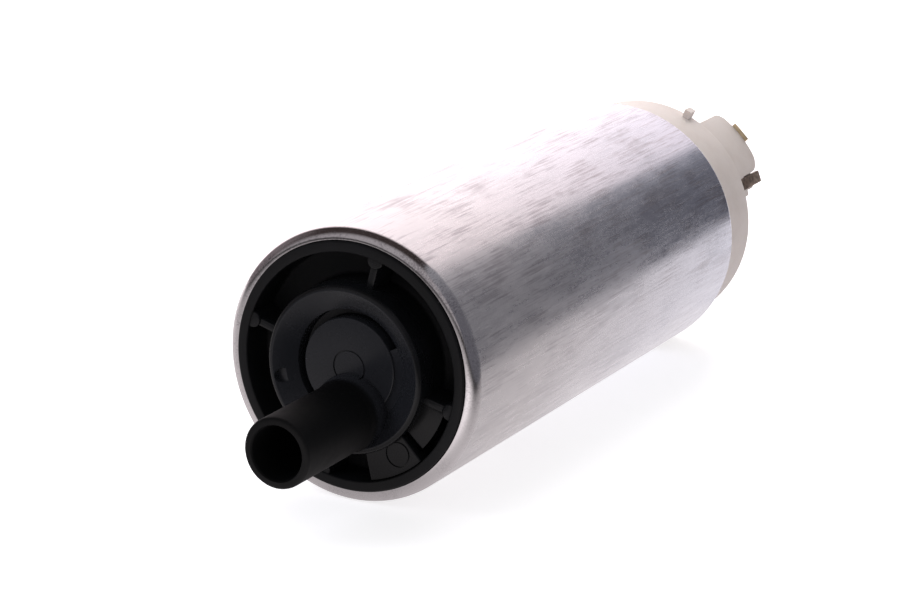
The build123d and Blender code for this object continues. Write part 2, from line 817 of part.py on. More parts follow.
# What stands in each tower
for number, turn in enumerate(half_turns, start=1):
    angle = brush_angle + turn
    brush_centre = place(angle, brush_place)
    choke_spot = place(angle, choke_place)
    with BuildPart() as brush:
        brush_faces = (brush_place - brush_depth / 2, brush_place + brush_depth / 2)
        spoke(brush_start, brush_end, angle, *brush_faces, brush_width)
    save(brush, f"brush_{number}")
    with BuildPart() as brush_spring:
        spring_ends = (brush_end + face_gap, tower_end - face_gap)
        coil_spring(*spring_ends, brush_spring_radius, brush_spring_wire, brush_spring_pitch, brush_centre)
    save(brush_spring, f"brush_spring_{number}")
    with BuildPart() as shunt:
        ring(*spring_ends, shunt_radius, centre=brush_centre)
    save(shunt, f"brush_shunt_{number}")
    with BuildPart() as choke:
        choke_start = foot_end + choke_margin
        choke_end = tower_end - choke_margin
        ring(choke_start, choke_end, choke_radius, choke_radius - choke_winding, centre=choke_spot)
    save(choke, f"choke_coil_{number}")
    with BuildPart() as choke_rod:
        ring(foot_end, tower_end - face_gap, rod_radius, centre=choke_spot)
    save(choke_rod, f"choke_rod_{number}")
    with BuildPart() as brush_clip:
        strip_reach = (guide_inner - clip_overhang, tower_radius + clip_overhang)
        spoke(tower_end, tower_end + strip_thickness, angle, *strip_reach, strip_width)
    save(brush_clip, f"brush_clip_{number}")

# Check valve in the nipple: a sprung poppet that lifts when the pump delivers
seal_start = floor_end + rest_gap
poppet_start = seal_start + valve_seal_thickness
poppet_end = poppet_start + poppet_thickness

with BuildPart() as valve_seal:
    ring(seal_start, poppet_start, poppet_radius)
save(valve_seal, "check_valve_seal")

with BuildPart() as poppet:
    ring(poppet_start, poppet_end, poppet_radius)
    ring(poppet_end, retainer_end + rest_gap, stem_radius)
save(poppet, "check_valve_poppet")

with BuildPart() as valve_spring:
    spring_ends = (poppet_end + face_gap, retainer_start - face_gap)
    coil_spring(*spring_ends, valve_spring_radius, valve_spring_wire, valve_spring_pitch, (0, 0))
save(valve_spring, "check_valve_spring")

with BuildPart() as retainer:
    ring(retainer_start, retainer_end, nipple_bore_radius - seat_gap, stem_radius + running_gap)
    with BuildSketch(across(retainer_start)):
        with PolarLocations((nipple_bore_radius + stem_radius) / 2, retainer_holes):
            Circle(retainer_hole_radius)
    extrude(amount=-retainer_thickness, mode=Mode.SUBTRACT)
save(retainer, "check_valve_retainer")

# Relief valve: a sprung ball on a brass seat, under a vented plug
seat_end = relief_start + relief_seat_height
ball_centre = seat_end + sqrt(ball_radius**2 - relief_hole_radius**2) + rest_gap
plug_start = relief_end - relief_plug_height

with BuildPart() as relief_seat:
    ring(relief_start, seat_end, relief_bore_radius - seat_gap, relief_hole_radius, centre=relief_centre)
save(relief_seat, "relief_valve_seat")

with BuildPart() as relief_ball:
    with Locations((relief_centre[0], ball_centre - half_length, relief_centre[1])):
        Sphere(ball_radius)
save(relief_ball, "relief_valve_ball")

with BuildPart() as relief_spring:
    spring_ends = (ball_centre + ball_radius + face_gap, plug_start - face_gap)
    coil_spring(*spring_ends, relief_spring_radius, relief_spring_wire, relief_spring_pitch, relief_centre)
save(relief_spring, "relief_valve_spring")

with BuildPart() as relief_plug:
    ring(plug_start, relief_end, relief_bore_radius - seat_gap, relief_vent_radius, centre=relief_centre)
save(relief_plug, "relief_valve_plug")
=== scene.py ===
import bpy
import bmesh
import json
from math import atan2, cos, pi, radians, sin, tan
from types import SimpleNamespace
from mathutils import Matrix, Vector

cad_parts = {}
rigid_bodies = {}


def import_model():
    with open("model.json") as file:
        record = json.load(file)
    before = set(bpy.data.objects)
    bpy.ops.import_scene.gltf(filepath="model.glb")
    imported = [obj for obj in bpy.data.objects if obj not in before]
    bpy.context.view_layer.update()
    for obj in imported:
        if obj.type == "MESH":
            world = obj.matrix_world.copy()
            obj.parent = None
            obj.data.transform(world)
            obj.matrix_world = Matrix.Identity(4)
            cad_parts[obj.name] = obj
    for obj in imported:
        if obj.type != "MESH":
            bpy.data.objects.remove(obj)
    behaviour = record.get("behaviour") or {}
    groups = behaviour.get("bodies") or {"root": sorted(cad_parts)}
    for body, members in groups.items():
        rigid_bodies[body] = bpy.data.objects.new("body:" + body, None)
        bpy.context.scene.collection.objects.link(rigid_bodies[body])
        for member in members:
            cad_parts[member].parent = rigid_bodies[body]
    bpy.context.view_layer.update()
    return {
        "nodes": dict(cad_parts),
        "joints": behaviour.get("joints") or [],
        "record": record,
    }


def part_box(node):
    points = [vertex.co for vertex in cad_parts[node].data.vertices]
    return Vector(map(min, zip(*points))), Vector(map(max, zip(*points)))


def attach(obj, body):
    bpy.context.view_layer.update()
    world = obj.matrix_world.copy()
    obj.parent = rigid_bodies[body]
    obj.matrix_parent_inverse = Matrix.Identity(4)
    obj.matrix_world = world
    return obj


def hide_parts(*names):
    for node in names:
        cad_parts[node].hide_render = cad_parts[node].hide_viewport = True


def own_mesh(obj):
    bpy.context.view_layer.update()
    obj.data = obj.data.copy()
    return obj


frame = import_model()
mm = 0.001
print("frame loaded:", len(frame["nodes"]), "nodes")

# Places that the pieces share, read from the frame
shellLow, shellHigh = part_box("barrel_shell")
coverLow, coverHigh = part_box("inlet_cover")
nippleLow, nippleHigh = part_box("outlet_nipple")
bladeLow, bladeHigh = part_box("terminal_positive")
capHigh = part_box("outlet_cap")[1]
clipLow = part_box("brush_clip_1")[0]
lipPlane = shellLow.y
floorLevel = shellLow.z
mounts = {mount["name"]: mount for mount in frame["record"]["mounts"]}
slotOf = {part["node"]: part["material_slot"] for part in frame["record"]["subparts"]}

halfTurns = (0, 180)    # the towers with their brushes and blades stand in a pair, half a turn apart
over = 1                # millimetres by which a cutting shape passes the surface that it cuts


def station(y):
    # the distance in millimetres from the barrel's inlet lip, along the pump
    return (y - lipPlane) / mm


def linear(hexColour):
    # an sRGB hex colour as linear red, green and blue, by sRGB's own curve
    parts = [int(hexColour[i:i + 2], 16) / 255 for i in (1, 3, 5)]
    return [part / 12.92 if part <= 0.04045 else ((part + 0.055) / 1.055) ** 2.4 for part in parts] + [1.0]


def perMetre(millimetres):
    # a pattern's scale from the size of one of its spots
    return 1000 / millimetres


def addNode(tree, kind, settings=None, links=None):
    # a setting is the node's own where it has one of that name, or else the value of an input
    node = tree.nodes.new("ShaderNode" + kind)
    for key, value in (settings or {}).items():
        if isinstance(key, str) and hasattr(node, key):
            setattr(node, key, value)
        else:
            node.inputs[key].default_value = value
    for key, source in (links or {}).items():
        tree.links.new(source, node.inputs[key])
    return node


def setRamp(node, stops):
    # stops are pairs of place and colour, from left to right
    ramp = node.color_ramp
    while len(ramp.elements) < len(stops):
        ramp.elements.new(0.5)
    for element, (place, colour) in zip(ramp.elements, stops):
        element.position = place
        element.color = linear(colour)
    return node.outputs["Color"]


def newFinish(name, **settings):
    # a material with its shader, and the Object coordinates that its patterns read
    material = bpy.data.materials.new(name)
    material.use_nodes = True
    tree = material.node_tree
    tree.nodes.clear()
    shader = addNode(tree, "BsdfPrincipled", settings)
    addNode(tree, "OutputMaterial", links={"Surface": shader.outputs["BSDF"]})
    coords = addNode(tree, "TexCoord").outputs["Object"]
    return material, tree, shader, coords


def mottle(tree, coords, size, detail=4.0, roughness=0.6):
    # cloudy spots of a size in millimetres along X, Y and Z, with values from about mottleLow to mottleHigh
    scale = [perMetre(side) for side in size]
    placed = addNode(tree, "Mapping", {"Scale": scale}, {"Vector": coords})
    return addNode(tree, "TexNoise", {"Scale": 1.0, "Detail": detail, "Roughness": roughness},
                   {"Vector": placed.outputs["Vector"]}).outputs["Fac"]


mottleLow = 0.3
mottleHigh = 0.7

# Barrel: drawn aluminium, brushed lengthwise. The eye gets fine streaks in a silver that mirrors softly,
# under a dull oxide film that handling has rubbed away in patches
barrelLook = {
    "nearMetal": "#DFDCDD",
    "farMetal": "#D2D5E0",
    "farMetalFrom": 0.2,      # share of the length where the tone starts to turn
    # each has width and length in millimetres, detail, roughness and weight in the film; the brush lines are
    # drawn coarser than the real 0.1 so that they show
    "patch": (12, 24, 6.0, 0.6, 1.7),
    "streak": (0.8, 12, 4.0, 0.65, 1.2),
    "speck": (0.55, 1.1, 3.0, 0.7, 0.9),
    "brush": (0.28, 9, 3.0, 0.6, 1.0),
    "film": 0.45,             # how much of the metal the film covers, with more of it near the inlet
    "nearFilm": 0.36,
    "farFilm": -0.12,
    "oxide": 0.2,             # how far the film hides the metal
    "smooth": 0.15,
    "dull": 0.38,
    "rolledEnd": 1.7 * mm,    # the rolled lip is rubbed bright
    "rolledBlend": 0.6,
    "rolledFilm": 0.06,
    "stroke": "#ABA6AA",      # darker strokes lie lengthwise, in groups
    "strokeGroup": (5, 12, 5),
    "strokeGrouping": 0.9,
    "strokeFrom": 0.93,
    "strokeTo": 1.2,
    "strokesBelow": 0.25,     # strength of the strokes on the underside and on top; the stronger strokes on top are painted shade
    "strokesAbove": 0.8,
    "strokesBlend": 6 * mm,
    "brushRelief": 0.4,
    "brushDepth": 0.012 * mm,
}


def brushedAluminium():
    look = SimpleNamespace(**barrelLook)
    material, tree, shader, coords = newFinish("brushedAluminium", Metallic=1.0, Roughness=0.3)
    place = addNode(tree, "SeparateXYZ", links={"Vector": coords})
    film = addNode(tree, "MapRange", {
        "From Min": shellLow.y, "From Max": shellHigh.y, "To Min": look.nearFilm,
        "To Max": look.farFilm}, {"Value": place.outputs["Y"]}).outputs["Result"]
    for width, length, detail, roughness, weight in (look.patch, look.streak, look.speck, look.brush):
        pattern = mottle(tree, coords, (width, length, width), detail, roughness)
        centred = addNode(tree, "Math", {"operation": "SUBTRACT", 1: 0.5}, {0: pattern})
        film = addNode(tree, "Math", {"operation": "MULTIPLY_ADD", 1: weight},
                       {0: centred.outputs["Value"], 2: film}).outputs["Value"]
    brush = pattern    # the last of the four is the brush lines
    covered = addNode(tree, "Math", {"operation": "ADD", 1: look.film, "use_clamp": True},
                      {0: film})
    rubbed = addNode(tree, "MapRange", {
        "From Min": shellLow.y + look.rolledBlend * look.rolledEnd, "From Max": shellLow.y + look.rolledEnd,
        "To Min": look.rolledFilm, "To Max": 1.0}, {"Value": place.outputs["Y"]})
    film = addNode(tree, "Math", {"operation": "MULTIPLY"},
                   {0: covered.outputs["Value"], 1: rubbed.outputs["Result"]}).outputs["Value"]
    for socket, bare, filmed in (("Roughness", look.smooth, look.dull), ("Metallic", 1.0, 1 - look.oxide)):
        level = addNode(tree, "MapRange", {"To Min": bare, "To Max": filmed}, {"Value": film})
        tree.links.new(level.outputs["Result"], shader.inputs[socket])
    along = addNode(tree, "MapRange", {"From Min": shellLow.y, "From Max": shellHigh.y},
                    {"Value": place.outputs["Y"]})
    tone = addNode(tree, "ValToRGB", links={"Fac": along.outputs["Result"]})
    metalTone = setRamp(tone, [(look.farMetalFrom, look.nearMetal), (1.0, look.farMetal)])
    grouped = mottle(tree, coords, look.strokeGroup, detail=3.0)
    strokes = addNode(tree, "Math", {"operation": "MULTIPLY_ADD", 1: look.strokeGrouping},
                      {0: grouped, 2: brush})
    # the darker strokes are real brush marks, drawn stronger on the upper half as painted shade
    paintedTopShade = addNode(tree, "MapRange", {
        "From Min": -look.strokesBlend, "From Max": look.strokesBlend,
        "To Min": look.strokesBelow, "To Max": look.strokesAbove}, {"Value": place.outputs["Z"]})
    depth = addNode(tree, "MapRange", {"From Min": look.strokeFrom, "From Max": look.strokeTo},
                    {"Value": strokes.outputs["Value"], "To Max": paintedTopShade.outputs["Result"]})
    mixed = addNode(tree, "Mix", {"data_type": "RGBA", 7: linear(look.stroke)},
                    {0: depth.outputs["Result"], 6: metalTone})
    tree.links.new(mixed.outputs[2], shader.inputs["Base Color"])
    bump = addNode(tree, "Bump", {"Strength": look.brushRelief, "Distance": look.brushDepth},
                   {"Height": brush})
    tree.links.new(bump.outputs["Normal"], shader.inputs["Normal"])
    return material


# Cover: black acetal from a polished mould. The eye gets a deep black gloss with a faint grey bloom, duller
# on the rim, down in the trough and on the spigot, and a painted reflection that greys the hub's face
coverLook = {
    "ior": 1.48,
    "reflection": 0.3,
    "skin": ((0.3, "#0B0C0D"), (0.75, "#121316")),
    "bloom": (4, 4, 4),
    "smooth": 0.2,
    "dull": 0.32,
    "rimFrom": 17.2 * mm,     # where the rim's dull skin starts and is full, and how much rougher it is
    "rimTo": 17.9 * mm,
    "rimMatt": 0.3,
    "deepFrom": 1.5 * mm,     # the same for the trough, inwards from the lip, and for the spigot, outwards
    "deepTo": 4 * mm,
    "proudFrom": 2.3 * mm,
    "proudTo": 3.5 * mm,
    "matt": 0.4,
    "hubFace": "#212226",     # the hub's face is painted a lighter grey: a painted reflection of the floor that the hub mirrors
    "hubFrom": 12.7 * mm,
    "hubTo": 12.3 * mm,
    "spigot": "#050607",
    "dust": (0.3, 0.3, 0.3),  # dust pits, coarser than the real 0.05 so that they show
    "dustRelief": 0.12,
    "dustDepth": 0.01 * mm,
}


def glossAcetal():
    look = SimpleNamespace(**coverLook)
    material, tree, shader, coords = newFinish("blackAcetal", IOR=look.ior,
                                               **{"Specular IOR Level": look.reflection})
    bloom = mottle(tree, coords, look.bloom, detail=6.0)
    skin = setRamp(addNode(tree, "ValToRGB", links={"Fac": bloom}), look.skin)
    rough = addNode(tree, "MapRange", {
        "From Min": mottleLow, "From Max": mottleHigh, "To Min": look.smooth, "To Max": look.dull},
        {"Value": bloom})
    flat = addNode(tree, "VectorMath", {"operation": "MULTIPLY", 1: (1, 0, 1)}, {0: coords})
    reach = addNode(tree, "VectorMath", {"operation": "LENGTH"},
                    {0: flat.outputs["Vector"]}).outputs["Value"]
    place = addNode(tree, "SeparateXYZ", links={"Vector": coords}).outputs["Y"]
    shares = []
    for source, start, end, most in (
            (reach, look.rimFrom, look.rimTo, look.rimMatt),
            (place, lipPlane + look.deepFrom, lipPlane + look.deepTo, look.matt),
            (place, lipPlane - look.proudFrom, lipPlane - look.proudTo, look.matt)):
        share = addNode(tree, "MapRange", {"From Min": start, "From Max": end, "To Max": most},
                        {"Value": source})
        shares.append(share.outputs["Result"])
    matt, deep, proud = shares
    for other in (deep, proud):
        matt = addNode(tree, "Math", {"operation": "MAXIMUM"}, {0: matt, 1: other}).outputs["Value"]
    total = addNode(tree, "Math", {"operation": "ADD"}, {0: rough.outputs["Result"], 1: matt})
    tree.links.new(total.outputs["Value"], shader.inputs["Roughness"])
    # painted reflection: inside the crest the hub's face is mixed towards a lighter grey, except where it is
    # matt
    hubFace = addNode(tree, "MapRange", {"From Min": look.hubFrom, "From Max": look.hubTo},
                      {"Value": reach})
    fullShare = 1 / look.matt
    level = addNode(tree, "Math", {"operation": "MULTIPLY_ADD", 1: -fullShare, 2: 1.0,
                                             "use_clamp": True}, {0: matt})
    paintedSheenShare = addNode(tree, "Math", {"operation": "MULTIPLY"},
                     {0: hubFace.outputs["Result"], 1: level.outputs["Value"]})
    hub = addNode(tree, "Mix", {"data_type": "RGBA", 7: linear(look.hubFace)},
                  {0: paintedSheenShare.outputs["Value"], 6: skin})
    spigotShare = addNode(tree, "Math", {"operation": "MULTIPLY", 1: fullShare}, {0: proud})
    tone = addNode(tree, "Mix", {"data_type": "RGBA", 7: linear(look.spigot)},
                   {0: spigotShare.outputs["Value"], 6: hub.outputs[2]})
    tree.links.new(tone.outputs[2], shader.inputs["Base Color"])
    dust = mottle(tree, coords, look.dust, detail=3.0)
    bump = addNode(tree, "Bump", {"Strength": look.dustRelief, "Distance": look.dustDepth},
                   {"Height": dust})
    tree.links.new(bump.outputs["Normal"], shader.inputs["Normal"])
    return material


# Cap: natural acetal from a blasted mould. The eye gets a milky white that light goes a little way into, with
# a satin skin and soft shadow edges
capLook = {
    "ior": 1.48,
    "milk": 0.2,
    "milkTint": (1.0, 0.85, 0.7),    # red goes in furthest
    "milkReach": 0.8 * mm,
    "skin": ((0.3, "#CDC1BB"), (0.6, "#D9CFCA")),
    "cloud": (6, 6, 6),
    "smooth": 0.36,
    "dull": 0.5,
    "grain": (0.4, 0.4, 0.4),        # the blasting's grain, coarser than the real 0.05 so that it shows
    "grainRelief": 0.2,
    "grainDepth": 0.01 * mm,
}


def creamAcetal():
    look = SimpleNamespace(**capLook)
    material, tree, shader, coords = newFinish("naturalAcetal", IOR=look.ior, **{
        "Subsurface Weight": look.milk, "Subsurface Radius": look.milkTint,
        "Subsurface Scale": look.milkReach})
    cloud = mottle(tree, coords, look.cloud, detail=6.0)
    skin = setRamp(addNode(tree, "ValToRGB", links={"Fac": cloud}), look.skin)
    tree.links.new(skin, shader.inputs["Base Color"])
    rough = addNode(tree, "MapRange", {
        "From Min": mottleLow, "From Max": mottleHigh, "To Min": look.smooth, "To Max": look.dull},
        {"Value": cloud})
    tree.links.new(rough.outputs["Result"], shader.inputs["Roughness"])
    grain = mottle(tree, coords, look.grain, detail=2.0)
    bump = addNode(tree, "Bump", {"Strength": look.grainRelief, "Distance": look.grainDepth},
                   {"Height": grain})
    tree.links.new(bump.outputs["Normal"], shader.inputs["Normal"])
    return material


# The other pieces: spots of a light and a dark tone, with a fine relief. Sheets, strands and rolling marks
# are as wide as real ones, and other grain is drawn coarser than the real one, which wouldn't show
innerLook = {
    "lightTo": 0.35,
    "darkFrom": 0.7,
    "metalSmoother": 0.08,
    "metalRougher": 0.12,
    "relief": 0.3,
}


def dressShader(tree, shader, pattern, light, dark, depth):
    # the two tones of a pattern, and its relief of a depth in millimetres
    ramp = addNode(tree, "ValToRGB", links={"Fac": pattern})
    tones = setRamp(ramp, [(innerLook["lightTo"], light), (innerLook["darkFrom"], dark)])
    tree.links.new(tones, shader.inputs["Base Color"])
    bump = addNode(tree, "Bump", {"Strength": innerLook["relief"], "Distance": depth * mm},
                   {"Height": pattern})
    tree.links.new(bump.outputs["Normal"], shader.inputs["Normal"])


def metalFinish(name, light, dark, roughness, grain, depth=0.01, film=0.0):
    # grain is in millimetres along X, Y and Z, and film is how far dullness hides the metal
    material, tree, shader, coords = newFinish(name, Metallic=1.0 - film, Roughness=roughness)
    pattern = mottle(tree, coords, grain, detail=5.0, roughness=0.65)
    dressShader(tree, shader, pattern, light, dark, depth)
    rough = addNode(tree, "MapRange", {
        "From Min": mottleLow, "From Max": mottleHigh, "To Min": roughness - innerLook["metalSmoother"],
        "To Max": roughness + innerLook["metalRougher"]}, {"Value": pattern})
    tree.links.new(rough.outputs["Result"], shader.inputs["Roughness"])
    return material


def mouldedFinish(name, light, dark, roughness, grain, ior=1.5, depth=0.01):
    # a moulded or pressed piece that isn't metal
    material, tree, shader, coords = newFinish(name, Roughness=roughness, IOR=ior)
    dressShader(tree, shader, mottle(tree, coords, grain, detail=5.0), light, dark, depth)
    return material


# Each of the other pieces' finishes has its light and dark tone, roughness and grain, and then, where they
# aren't the usual ones, the IOR of a moulding, the depth of the relief and the film on a metal
finishes = {
    "barrel": brushedAluminium(),
    "black_plastic": glossAcetal(),
    "white_plastic": creamAcetal(),
    # nitrile rubber, moulded: near black, with only a soft sheen
    "seal_rubber": mouldedFinish("nitrileRubber", "#0C0C0D", "#161617", 0.6, (0.4, 0.4, 0.4)),
    # steel pressed from powder: grey, with open pores that break the shine up
    "sintered_steel": metalFinish("sinteredSteel", "#8E8C88", "#5C5A57", 0.42, (0.35, 0.35, 0.35), 0.03),
    # bronze pressed from powder and soaked in oil: brown and porous
    "bronze": metalFinish("sinteredBronze", "#B98A52", "#7E5630", 0.45, (0.3, 0.3, 0.3), 0.03),
    # steel ground between wheels: bright, with fine rings round the shaft
    "shaft_steel": metalFinish("groundSteel", "#D0D0D2", "#A4A4A8", 0.18, (4, 0.12, 4)),
    # nylon moulded with glass: dark brown, dulled by the fibres in its skin
    "coupler_plastic": mouldedFinish("filledNylon", "#2A2320", "#1B1614", 0.5, (0.3, 0.6, 0.3)),
    # stamped steel sheets in a stack: grey, with a thin dark line at each joint
    "laminations": metalFinish("laminatedSteel", "#8A8C92", "#4D4F55", 0.4, (30, 0.5, 30), 0.08),
    # nylon moulded without colour: straw yellow and satin
    "insulator_plastic": mouldedFinish("naturalNylon", "#D6C890", "#C2B27A", 0.45, (2, 2, 2)),
    # copper wire under clear enamel: warm and glossy, in strands along the pump
    "winding_copper": metalFinish("enamelledCopper", "#B5622E", "#7A3A18", 0.28, (0.3, 3, 0.3), 0.15),
    # phenolic moulded with wood flour: dark red-brown, between dull and glossy
    "phenolic": mouldedFinish("phenolicMoulding", "#3A2017", "#25140E", 0.4, (0.4, 0.4, 0.4)),
    # copper turned on a lathe: fresh and pink, with a clean shine
    "segment_copper": metalFinish("turnedCopper", "#D08A62", "#A9623F", 0.25, (0.3, 0.3, 0.3)),
    # steel strip rolled flat: plain grey, with long marks of the rollers
    "flux_steel": metalFinish("rolledSteel", "#85868A", "#66676C", 0.38, (0.6, 6, 0.6)),
    # ferrite pressed and fired: charcoal, like fine stone
    "ferrite": mouldedFinish("sinteredFerrite", "#2C2C2F", "#1C1C1F", 0.55, (0.4, 0.4, 0.4), 2.2, 0.03),
    # spring wire drawn through a die: bright and smooth
    "spring_steel": metalFinish("springWire", "#C2C2C4", "#8E8E92", 0.25, (0.3, 0.3, 0.3)),
    # carbon pressed with copper powder: near black, with a faint glint
    "brush_carbon": mouldedFinish("copperGraphite", "#2B2422", "#181516", 0.48, (0.2, 0.2, 0.2), 1.9, 0.02),
    # brass strip stamped to shape: pale yellow, a little clouded
    "brass": metalFinish("stampedBrass", "#DECBA9", "#C6B18C", 0.38, (0.8, 2.0, 0.8), 0.01, 0.35),
    # brass left in the air: brown, with a soft shine where the tarnish is thin
    "terminal_metal": metalFinish("tarnishedBrass", "#97806C", "#5A4B41", 0.42, (0.7, 0.7, 0.7), 0.03, 0.15),
    # fluorine rubber, moulded: dark red-brown and dull
    slotOf["check_valve_seal"]: mouldedFinish("fluoroRubber", "#2A1712", "#1A100D", 0.55, (0.4, 0.4, 0.4)),
}
for nodeName, cadObject in frame["nodes"].items():
    for holder in cadObject.material_slots:
        holder.material = finishes[slotOf[nodeName]]
print("materials set:", len(finishes))

# Shapes are made in millimetres and stations, and become metres when they are finished
sameSpot = 1e-3     # vertices nearer than this are one
tinyEdge = 1e-4
sliceDegrees = 2.3  # a bar that is bent round the axis has a slice for each of these
sliceRoom = 0.2     # and none this near to a rounded corner


def around(angle, radius):
    # the X and Z of a place round the pump's axis
    return (radius * cos(radians(angle)), radius * sin(radians(angle)))


def rounded(corners, steps=4):
    # an outline from corners that are (across, along) or (across, along, rounding)
    outline = []
    for index, corner in enumerate(corners):
        spot = Vector(corner[:2])
        rounding = corner[2] if len(corner) > 2 else 0
        if rounding == 0:
            outline.append(spot)
            continue
        before = (Vector(corners[index - 1][:2]) - spot).normalized()
        after = (Vector(corners[(index + 1) % len(corners)][:2]) - spot).normalized()
        half = before.angle(after) / 2
        centre = spot + (before + after).normalized() * rounding / sin(half)
        first = spot + before * rounding / tan(half) - centre
        last = spot + after * rounding / tan(half) - centre
        for step in range(steps + 1):
            arm = first.slerp(last, step / steps).normalized()
            outline.append(centre + arm * rounding)
    return outline


def turned(corners, turns, centre=(0, 0), steps=4):
    # an outline of distances and stations, turned about a line along Y through centre (x, z)
    bm = bmesh.new()
    outline = rounded(corners, steps)
    verts = [bm.verts.new((centre[0] + across, along, centre[1])) for across, along in outline]
    edges = [bm.edges.new((verts[i - 1], verts[i])) for i in range(len(verts))]
    edges = [edge for edge in edges if any(abs(vert.co.x - centre[0]) > sameSpot for vert in edge.verts)]
    bmesh.ops.spin(bm, geom=verts + edges, cent=(centre[0], 0, centre[1]), axis=(0, 1, 0), angle=2 * pi,
                   steps=turns, use_merge=True)
    bmesh.ops.remove_doubles(bm, verts=bm.verts, dist=sameSpot)
    bmesh.ops.delete(bm, geom=[edge for edge in bm.edges if not edge.link_faces], context="EDGES")
    bmesh.ops.recalc_face_normals(bm, faces=bm.faces)
    return bm


def block(angle, inner, outer, first, last, width, rounding=0.15):
    # a straight bar along a radius, from one station to another
    bm = bmesh.new()
    bmesh.ops.create_cube(bm, size=1)
    bmesh.ops.scale(bm, vec=(outer - inner, last - first, width), verts=bm.verts)
    bmesh.ops.translate(bm, vec=((outer + inner) / 2, (first + last) / 2, 0), verts=bm.verts)
    bmesh.ops.rotate(bm, cent=(0, 0, 0), matrix=Matrix.Rotation(radians(-angle), 3, "Y"), verts=bm.verts)
    if rounding > 0:
        bmesh.ops.bevel(bm, geom=bm.edges, offset=rounding, segments=2, profile=0.5, affect="EDGES",
                        material=-1)
    return bm


def sector(first, last, inner, outer, start, end, lowRound=0, highRound=0):
    # a bar from one station to another, with two rounded corners at its end, that is cut into slices and then
    # bent round the axis between two angles
    bm = bmesh.new()
    bmesh.ops.create_cube(bm, size=1)
    length = radians(last - first) * outer
    bmesh.ops.scale(bm, vec=(length, abs(end - start), outer - inner), verts=bm.verts)
    bmesh.ops.translate(bm, vec=(length / 2, (start + end) / 2, (inner + outer) / 2), verts=bm.verts)
    for place, rounding in ((0, lowRound), (length, highRound)):
        corner = [edge for edge in bm.edges
                  if all(abs(vert.co.x - place) + abs(vert.co.y - end) < tinyEdge for vert in edge.verts)]
        if rounding > 0:
            bmesh.ops.bevel(bm, geom=corner, offset=rounding, segments=8, profile=0.5, affect="EDGES",
                            material=-1)
    slices = max(2, round((last - first) / sliceDegrees))
    places = {round(vert.co.x, 3) for vert in bm.verts}
    flat = [length * index / slices for index in range(1, slices)]
    places.update(place for place in flat if lowRound + sliceRoom < place < length - highRound - sliceRoom)
    for place in sorted(places)[1:-1]:
        bmesh.ops.bisect_plane(bm, geom=list(bm.verts) + list(bm.edges) + list(bm.faces), dist=2 * sameSpot,
                               plane_co=(place, 0, 0), plane_no=(1, 0, 0))
    for vert in bm.verts:
        across, deep = around(first + vert.co.x / length * (last - first), vert.co.z)
        vert.co = (across, vert.co.y, deep)
    bmesh.ops.recalc_face_normals(bm, faces=bm.faces)
    return bm


def asObject(bm):
    mesh = bpy.data.meshes.new("tool")
    bm.to_mesh(mesh)
    bm.free()
    shape = bpy.data.objects.new("tool", mesh)
    bpy.context.scene.collection.objects.link(shape)
    return shape


def combined(target, operation, tools):
    # a shape with others joined to it or cut from it
    body = asObject(target)
    others = bpy.data.collections.new("tools")
    bpy.context.scene.collection.children.link(others)
    for tool in tools:
        shape = asObject(tool)
        bpy.context.scene.collection.objects.unlink(shape)
        others.objects.link(shape)
    change = body.modifiers.new(operation, "BOOLEAN")
    change.operation = operation
    change.operand_type = "COLLECTION"
    change.collection = others
    change.solver = "EXACT"
    bpy.context.view_layer.update()
    result = bmesh.new()
    result.from_object(body, bpy.context.evaluated_depsgraph_get())
    for shape in list(others.objects) + [body]:
        bpy.data.meshes.remove(shape.data)
    bpy.data.collections.remove(others)
    return result


def dressedPiece(name, bm, nodeName, bodyName, sharpAngle):
    # a mesh in metres becomes a piece that rides on a body, in place of a node and with its slot
    mesh = bpy.data.meshes.new(name)
    bm.to_mesh(mesh)
    bm.free()
    mesh.shade_smooth()
    mesh.set_sharp_from_angle(angle=radians(sharpAngle))
    mesh.materials.append(finishes[slotOf[nodeName]])
    piece = bpy.data.objects.new(name, mesh)
    bpy.context.scene.collection.objects.link(piece)
    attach(piece, bodyName)
    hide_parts(nodeName)
    print("made", name, "with", len(mesh.polygons), "faces")
    return piece


def newPiece(name, bm, nodeName, sharpAngle=32):
    # a finished shape in millimetres and stations becomes a piece of the housing
    bmesh.ops.remove_doubles(bm, verts=bm.verts, dist=tinyEdge)
    bmesh.ops.dissolve_degenerate(bm, dist=tinyEdge, edges=bm.edges)
    bmesh.ops.scale(bm, vec=(mm, mm, mm), verts=bm.verts)
    bmesh.ops.translate(bm, vec=(0, lipPlane, 0), verts=bm.verts)
    dressedPiece(name, bm, nodeName, "housing", sharpAngle)


# Barrel: the drawn tube, rolled over at both ends
barrel = {
    "radius": shellHigh.x / mm,
    "end": station(shellHigh.y),
    "wall": 1.2,
    "lipRadius": 19.53,
    "rearLipRadius": 19.9,
    "lipThickness": 1.2,
    "crimp": 1.75,
    "rearCrimp": 0.8,
    "lipEdge": 0.14,
    "turns": 240,
    "roundSteps": 10,
}


def makeBarrel():
    size = SimpleNamespace(**barrel)
    inner = size.radius - size.wall
    rearLip = size.end - size.lipThickness
    corners = [
        (size.radius, 0, size.crimp), (size.radius, size.end, size.rearCrimp),
        (size.rearLipRadius, size.end, size.lipEdge), (size.rearLipRadius, rearLip),
        (inner, rearLip), (inner, size.lipThickness),
        (size.lipRadius, size.lipThickness), (size.lipRadius, 0, size.lipEdge),
    ]
    newPiece("rolled_barrel", turned(corners, size.turns, steps=size.roundSteps), "barrel_shell")


makeBarrel()

